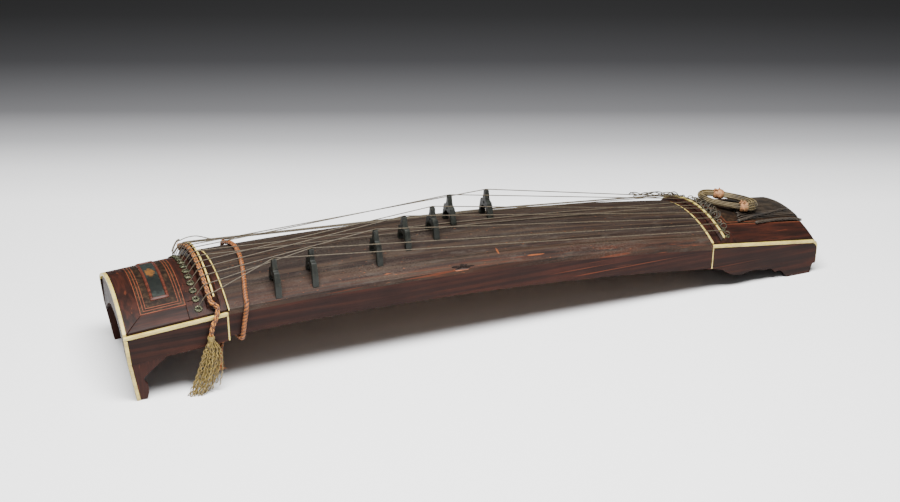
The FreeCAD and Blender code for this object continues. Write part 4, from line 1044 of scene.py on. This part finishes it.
class GUZHENG_OT_soundbox(bpy.types.Operator):
    """Soundboard with its chipped edge, sides, base and what is inside."""
    bl_idname = "guzheng.soundbox"
    bl_label = "Soundbox"

    def execute(self, context):
        dress(["soundboard"], "soundboard")
        dress(["front_side", "back_side"], "worn_rosewood")
        dress(["base_board", "cross_braces", "end_blocks"], "inner")
        loops = []
        for depth, grow in ((-1.0, 0.05), (-1.0, 0.9), (0.5, 1.0), (6.0, 1.25), (6.0, 0.05)):
            loop = []
            for i in range(26):
                a = 2 * math.pi * i / 26
                ragged = 1 + 0.24 * math.sin(5 * a + 1) + 0.16 * math.sin(9 * a) + 0.12 * math.sin(12 * a + 2)
                x = CHIP_HOLE[0] + CHIP_LONG / 2 * ragged * grow * math.cos(a)
                y = CHIP_HOLE[1] - 2.2 + CHIP_WIDE / 2 * ragged * grow * math.sin(a)
                sink = depth if depth > 0 else (-1.8 if math.sin(a) < -0.1 else -7.0)
                loop.append((x, y, top_z(x + LENGTH / 2, y) + sink))
            loops.append(loop)
        points, faces = rings(loops, closed=False)
        mesh = bpy.data.meshes.new("chip")
        mesh.from_pydata([tuple(c * 0.001 for c in p) for p in points], [], faces)
        mesh.materials.append(finish("soundboard"))
        mesh.materials.append(finish("split"))
        mesh.polygons.foreach_set("material_index", [1] * len(mesh.polygons))
        chip = bpy.data.objects.new("chip", mesh)
        context.scene.collection.objects.link(chip)
        chip.hide_render = chip.hide_viewport = True
        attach(chip, BODY)
        node = NODES["soundboard"]
        node.data.materials.append(finish("split"))
        cut = node.modifiers.new("chipped edge", "BOOLEAN")
        cut.operation, cut.object, cut.solver, cut.use_self = "DIFFERENCE", chip, "EXACT", True
        return {"FINISHED"}


class GUZHENG_OT_edging(bpy.types.Operator):
    """Bone edging, cross lines and nut caps."""
    bl_idname = "guzheng.edging"
    bl_label = "Bone edging"

    def execute(self, context):
        sizes = context.scene.guzheng_sizes
        dress(["head_end_strip", "head_edge_strips", "head_leg_strips", "head_joint_strips",
               "soundboard_head_line", "tail_edge_strips", "tail_joint_strips", "tail_head_line",
               "head_nut_cap", "tail_nut_cap"], "bone", sizes.edge)
        return {"FINISHED"}


def moulded_frame():
    """Moulding round the plaque, mitred at its corners and bent over the arch."""
    def loop(inset, high):
        a, b, half = PLAQUE[0] + inset, PLAQUE[1] - inset, PLAQUE_HALF - inset
        across = [-half + 2 * half * i / 24 for i in range(25)]
        corners = [(a, y) for y in across] + [(s, half) for s in (a + (b - a) / 3, b - (b - a) / 3)]
        corners += [(b, y) for y in across[::-1]] + [(s, -half) for s in (b - (b - a) / 3, a + (b - a) / 3)]
        return [above(s, y, high) for s, y in corners]

    profile = [(0.1, -1.9), (0.1, 0.9), (0.5, 1.5), (1.2, 1.7), (1.9, 2.5), (2.8, 2.7), (3.5, 2.2),
               (4.1, 1.2), (4.4, 0.8), (4.4, -1.9)]
    return rings([loop(inset, high) for inset, high in profile])


class GUZHENG_OT_head(bpy.types.Operator):
    """Head: cheeks, legs, borders, inlaid panel, plaque and nut."""
    bl_idname = "guzheng.head"
    bl_label = "Head"

    def execute(self, context):
        sizes = context.scene.guzheng_sizes
        dress(["head_cheek_front", "head_cheek_back", "head_border_front", "head_border_back"], "rosewood",
              sizes.edge)
        dress(["head_legs"], "rosewood_up", sizes.edge)
        dress(["head_end_border", "head_nut", "eyelet_board", "head_end_board"], "rosewood_cross",
              sizes.edge)
        dress(["head_panel"], "panel")
        dress(["head_inlay"], "line")
        dress(["plaque"], "lacquer")
        moulding = piece("plaque_moulding", [moulded_frame()], "moulding")
        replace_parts(moulding, "plaque_frame")
        return {"FINISHED"}


class GUZHENG_OT_tail(bpy.types.Operator):
    """Tail: cheeks, boards, inlaid panel and nut."""
    bl_idname = "guzheng.tail"
    bl_label = "Tail"

    def execute(self, context):
        sizes = context.scene.guzheng_sizes
        dress(["tail_cheek_front", "tail_cheek_back", "tail_long_borders"], "rosewood",
              sizes.edge)
        dress(["tail_cross_board", "tail_nut", "tail_end_board"], "rosewood_cross", sizes.edge)
        dress(["tail_panel"], "panel")
        dress(["tail_inlay"], "line")
        return {"FINISHED"}


def rosette(s, y, diameter, thick):
    """Cast flower of eight domed petals round a lipped hole, lying on the arch."""
    rise = HEAD_RISE if s < HEAD_END else TAIL_RISE
    radius = (half_width(s) ** 2 + rise ** 2) / (2 * rise)
    up = Vector((0, y, math.sqrt(radius ** 2 - y ** 2))).normalized()
    turned = up.to_track_quat("Z", "X").to_matrix()
    base = Vector(above(s, y, 0))
    profile = [(2.1, -0.2, 0), (2.1, thick + 0.8, 0), (2.5, thick + 1.1, 0), (3.0, thick + 0.6, 0),
               (diameter * 0.30, thick * 0.55, 0.04), (diameter * 0.36, thick * 0.95, 0.07),
               (diameter * 0.42, thick * 1.0, 0.10), (diameter * 0.465, thick * 0.6, 0.13),
               (diameter * 0.47, -0.2, 0.13)]
    loops = []
    for reach, high, petal in profile:
        loop = []
        for i in range(64):
            a = 2 * math.pi * i / 64
            scallop = abs(math.cos(4 * a)) ** 0.6
            dome = (scallop - 0.5) * 0.35 if petal else 0.0
            out = reach * (1 - petal + petal * 1.25 * scallop)
            q = Vector((out * math.cos(a), out * math.sin(a), high + (dome if high > 0.3 else 0)))
            loop.append(tuple(base + turned @ q))
        loops.append(loop)
    return rings(loops)


class GUZHENG_OT_eyelets(bpy.types.Operator):
    """Brass flowers that line the string holes at both ends."""
    bl_idname = "guzheng.eyelets"
    bl_label = "Eyelets"

    def execute(self, context):
        for name, s, span, diameter, thick, node in (
                ("head_eyelet_flowers", EYELET, SPAN, 12.0, 1.6, "head_eyelets"),
                ("tail_eyelet_flowers", TAIL_EYELET, 0.9 * SPAN, 9.0, 1.2, "tail_eyelets")):
            flowers = [rosette(s, string_y(n, span), diameter, thick) for n in range(1, STRINGS + 1)]
            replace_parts(piece(name, flowers, "brass"), node)
        return {"FINISHED"}


class GUZHENG_OT_bridges(bpy.types.Operator):
    """The seven movable bridges."""
    bl_idname = "guzheng.bridges"
    bl_label = "Bridges"

    def execute(self, context):
        sizes = context.scene.guzheng_sizes
        dress(["bridge_%02d" % b[0] for b in BRIDGES], "bridge", sizes.edge)
        return {"FINISHED"}


STEPS = (GUZHENG_OT_stage, GUZHENG_OT_cords, GUZHENG_OT_strings, GUZHENG_OT_spare_string, GUZHENG_OT_soundbox,
         GUZHENG_OT_edging, GUZHENG_OT_head, GUZHENG_OT_tail, GUZHENG_OT_eyelets, GUZHENG_OT_bridges)


class GUZHENG_PT_panel(bpy.types.Panel):
    """Lists the sizes, the colours and the steps in order."""
    bl_idname = "GUZHENG_PT_panel"
    bl_label = "Guzheng"
    bl_space_type = "VIEW_3D"
    bl_region_type = "UI"
    bl_category = "Guzheng"

    def draw(self, context):
        for group in (context.scene.guzheng_sizes, context.scene.guzheng_colours):
            box = self.layout.box()
            for name in group.__annotations__:
                box.prop(group, name)
        for step in STEPS:
            self.layout.operator(step.bl_idname)


CLASSES = (GuzhengSizes, GuzhengColours, *STEPS, GUZHENG_PT_panel)


def register():
    for made in CLASSES:
        bpy.utils.register_class(made)
    bpy.types.Scene.guzheng_sizes = bpy.props.PointerProperty(type=GuzhengSizes)
    bpy.types.Scene.guzheng_colours = bpy.props.PointerProperty(type=GuzhengColours)


def unregister():
    del bpy.types.Scene.guzheng_colours
    del bpy.types.Scene.guzheng_sizes
    for made in reversed(CLASSES):
        bpy.utils.unregister_class(made)


def main():
    for spare in [o for o in bpy.data.objects if o.type in ("LIGHT", "CAMERA") or o.name == "Cube"]:
        bpy.data.objects.remove(spare)
    register()
    for step in STEPS:
        group, name = step.bl_idname.split(".")
        getattr(getattr(bpy.ops, group), name)()


if __name__ == "__main__":
    main()
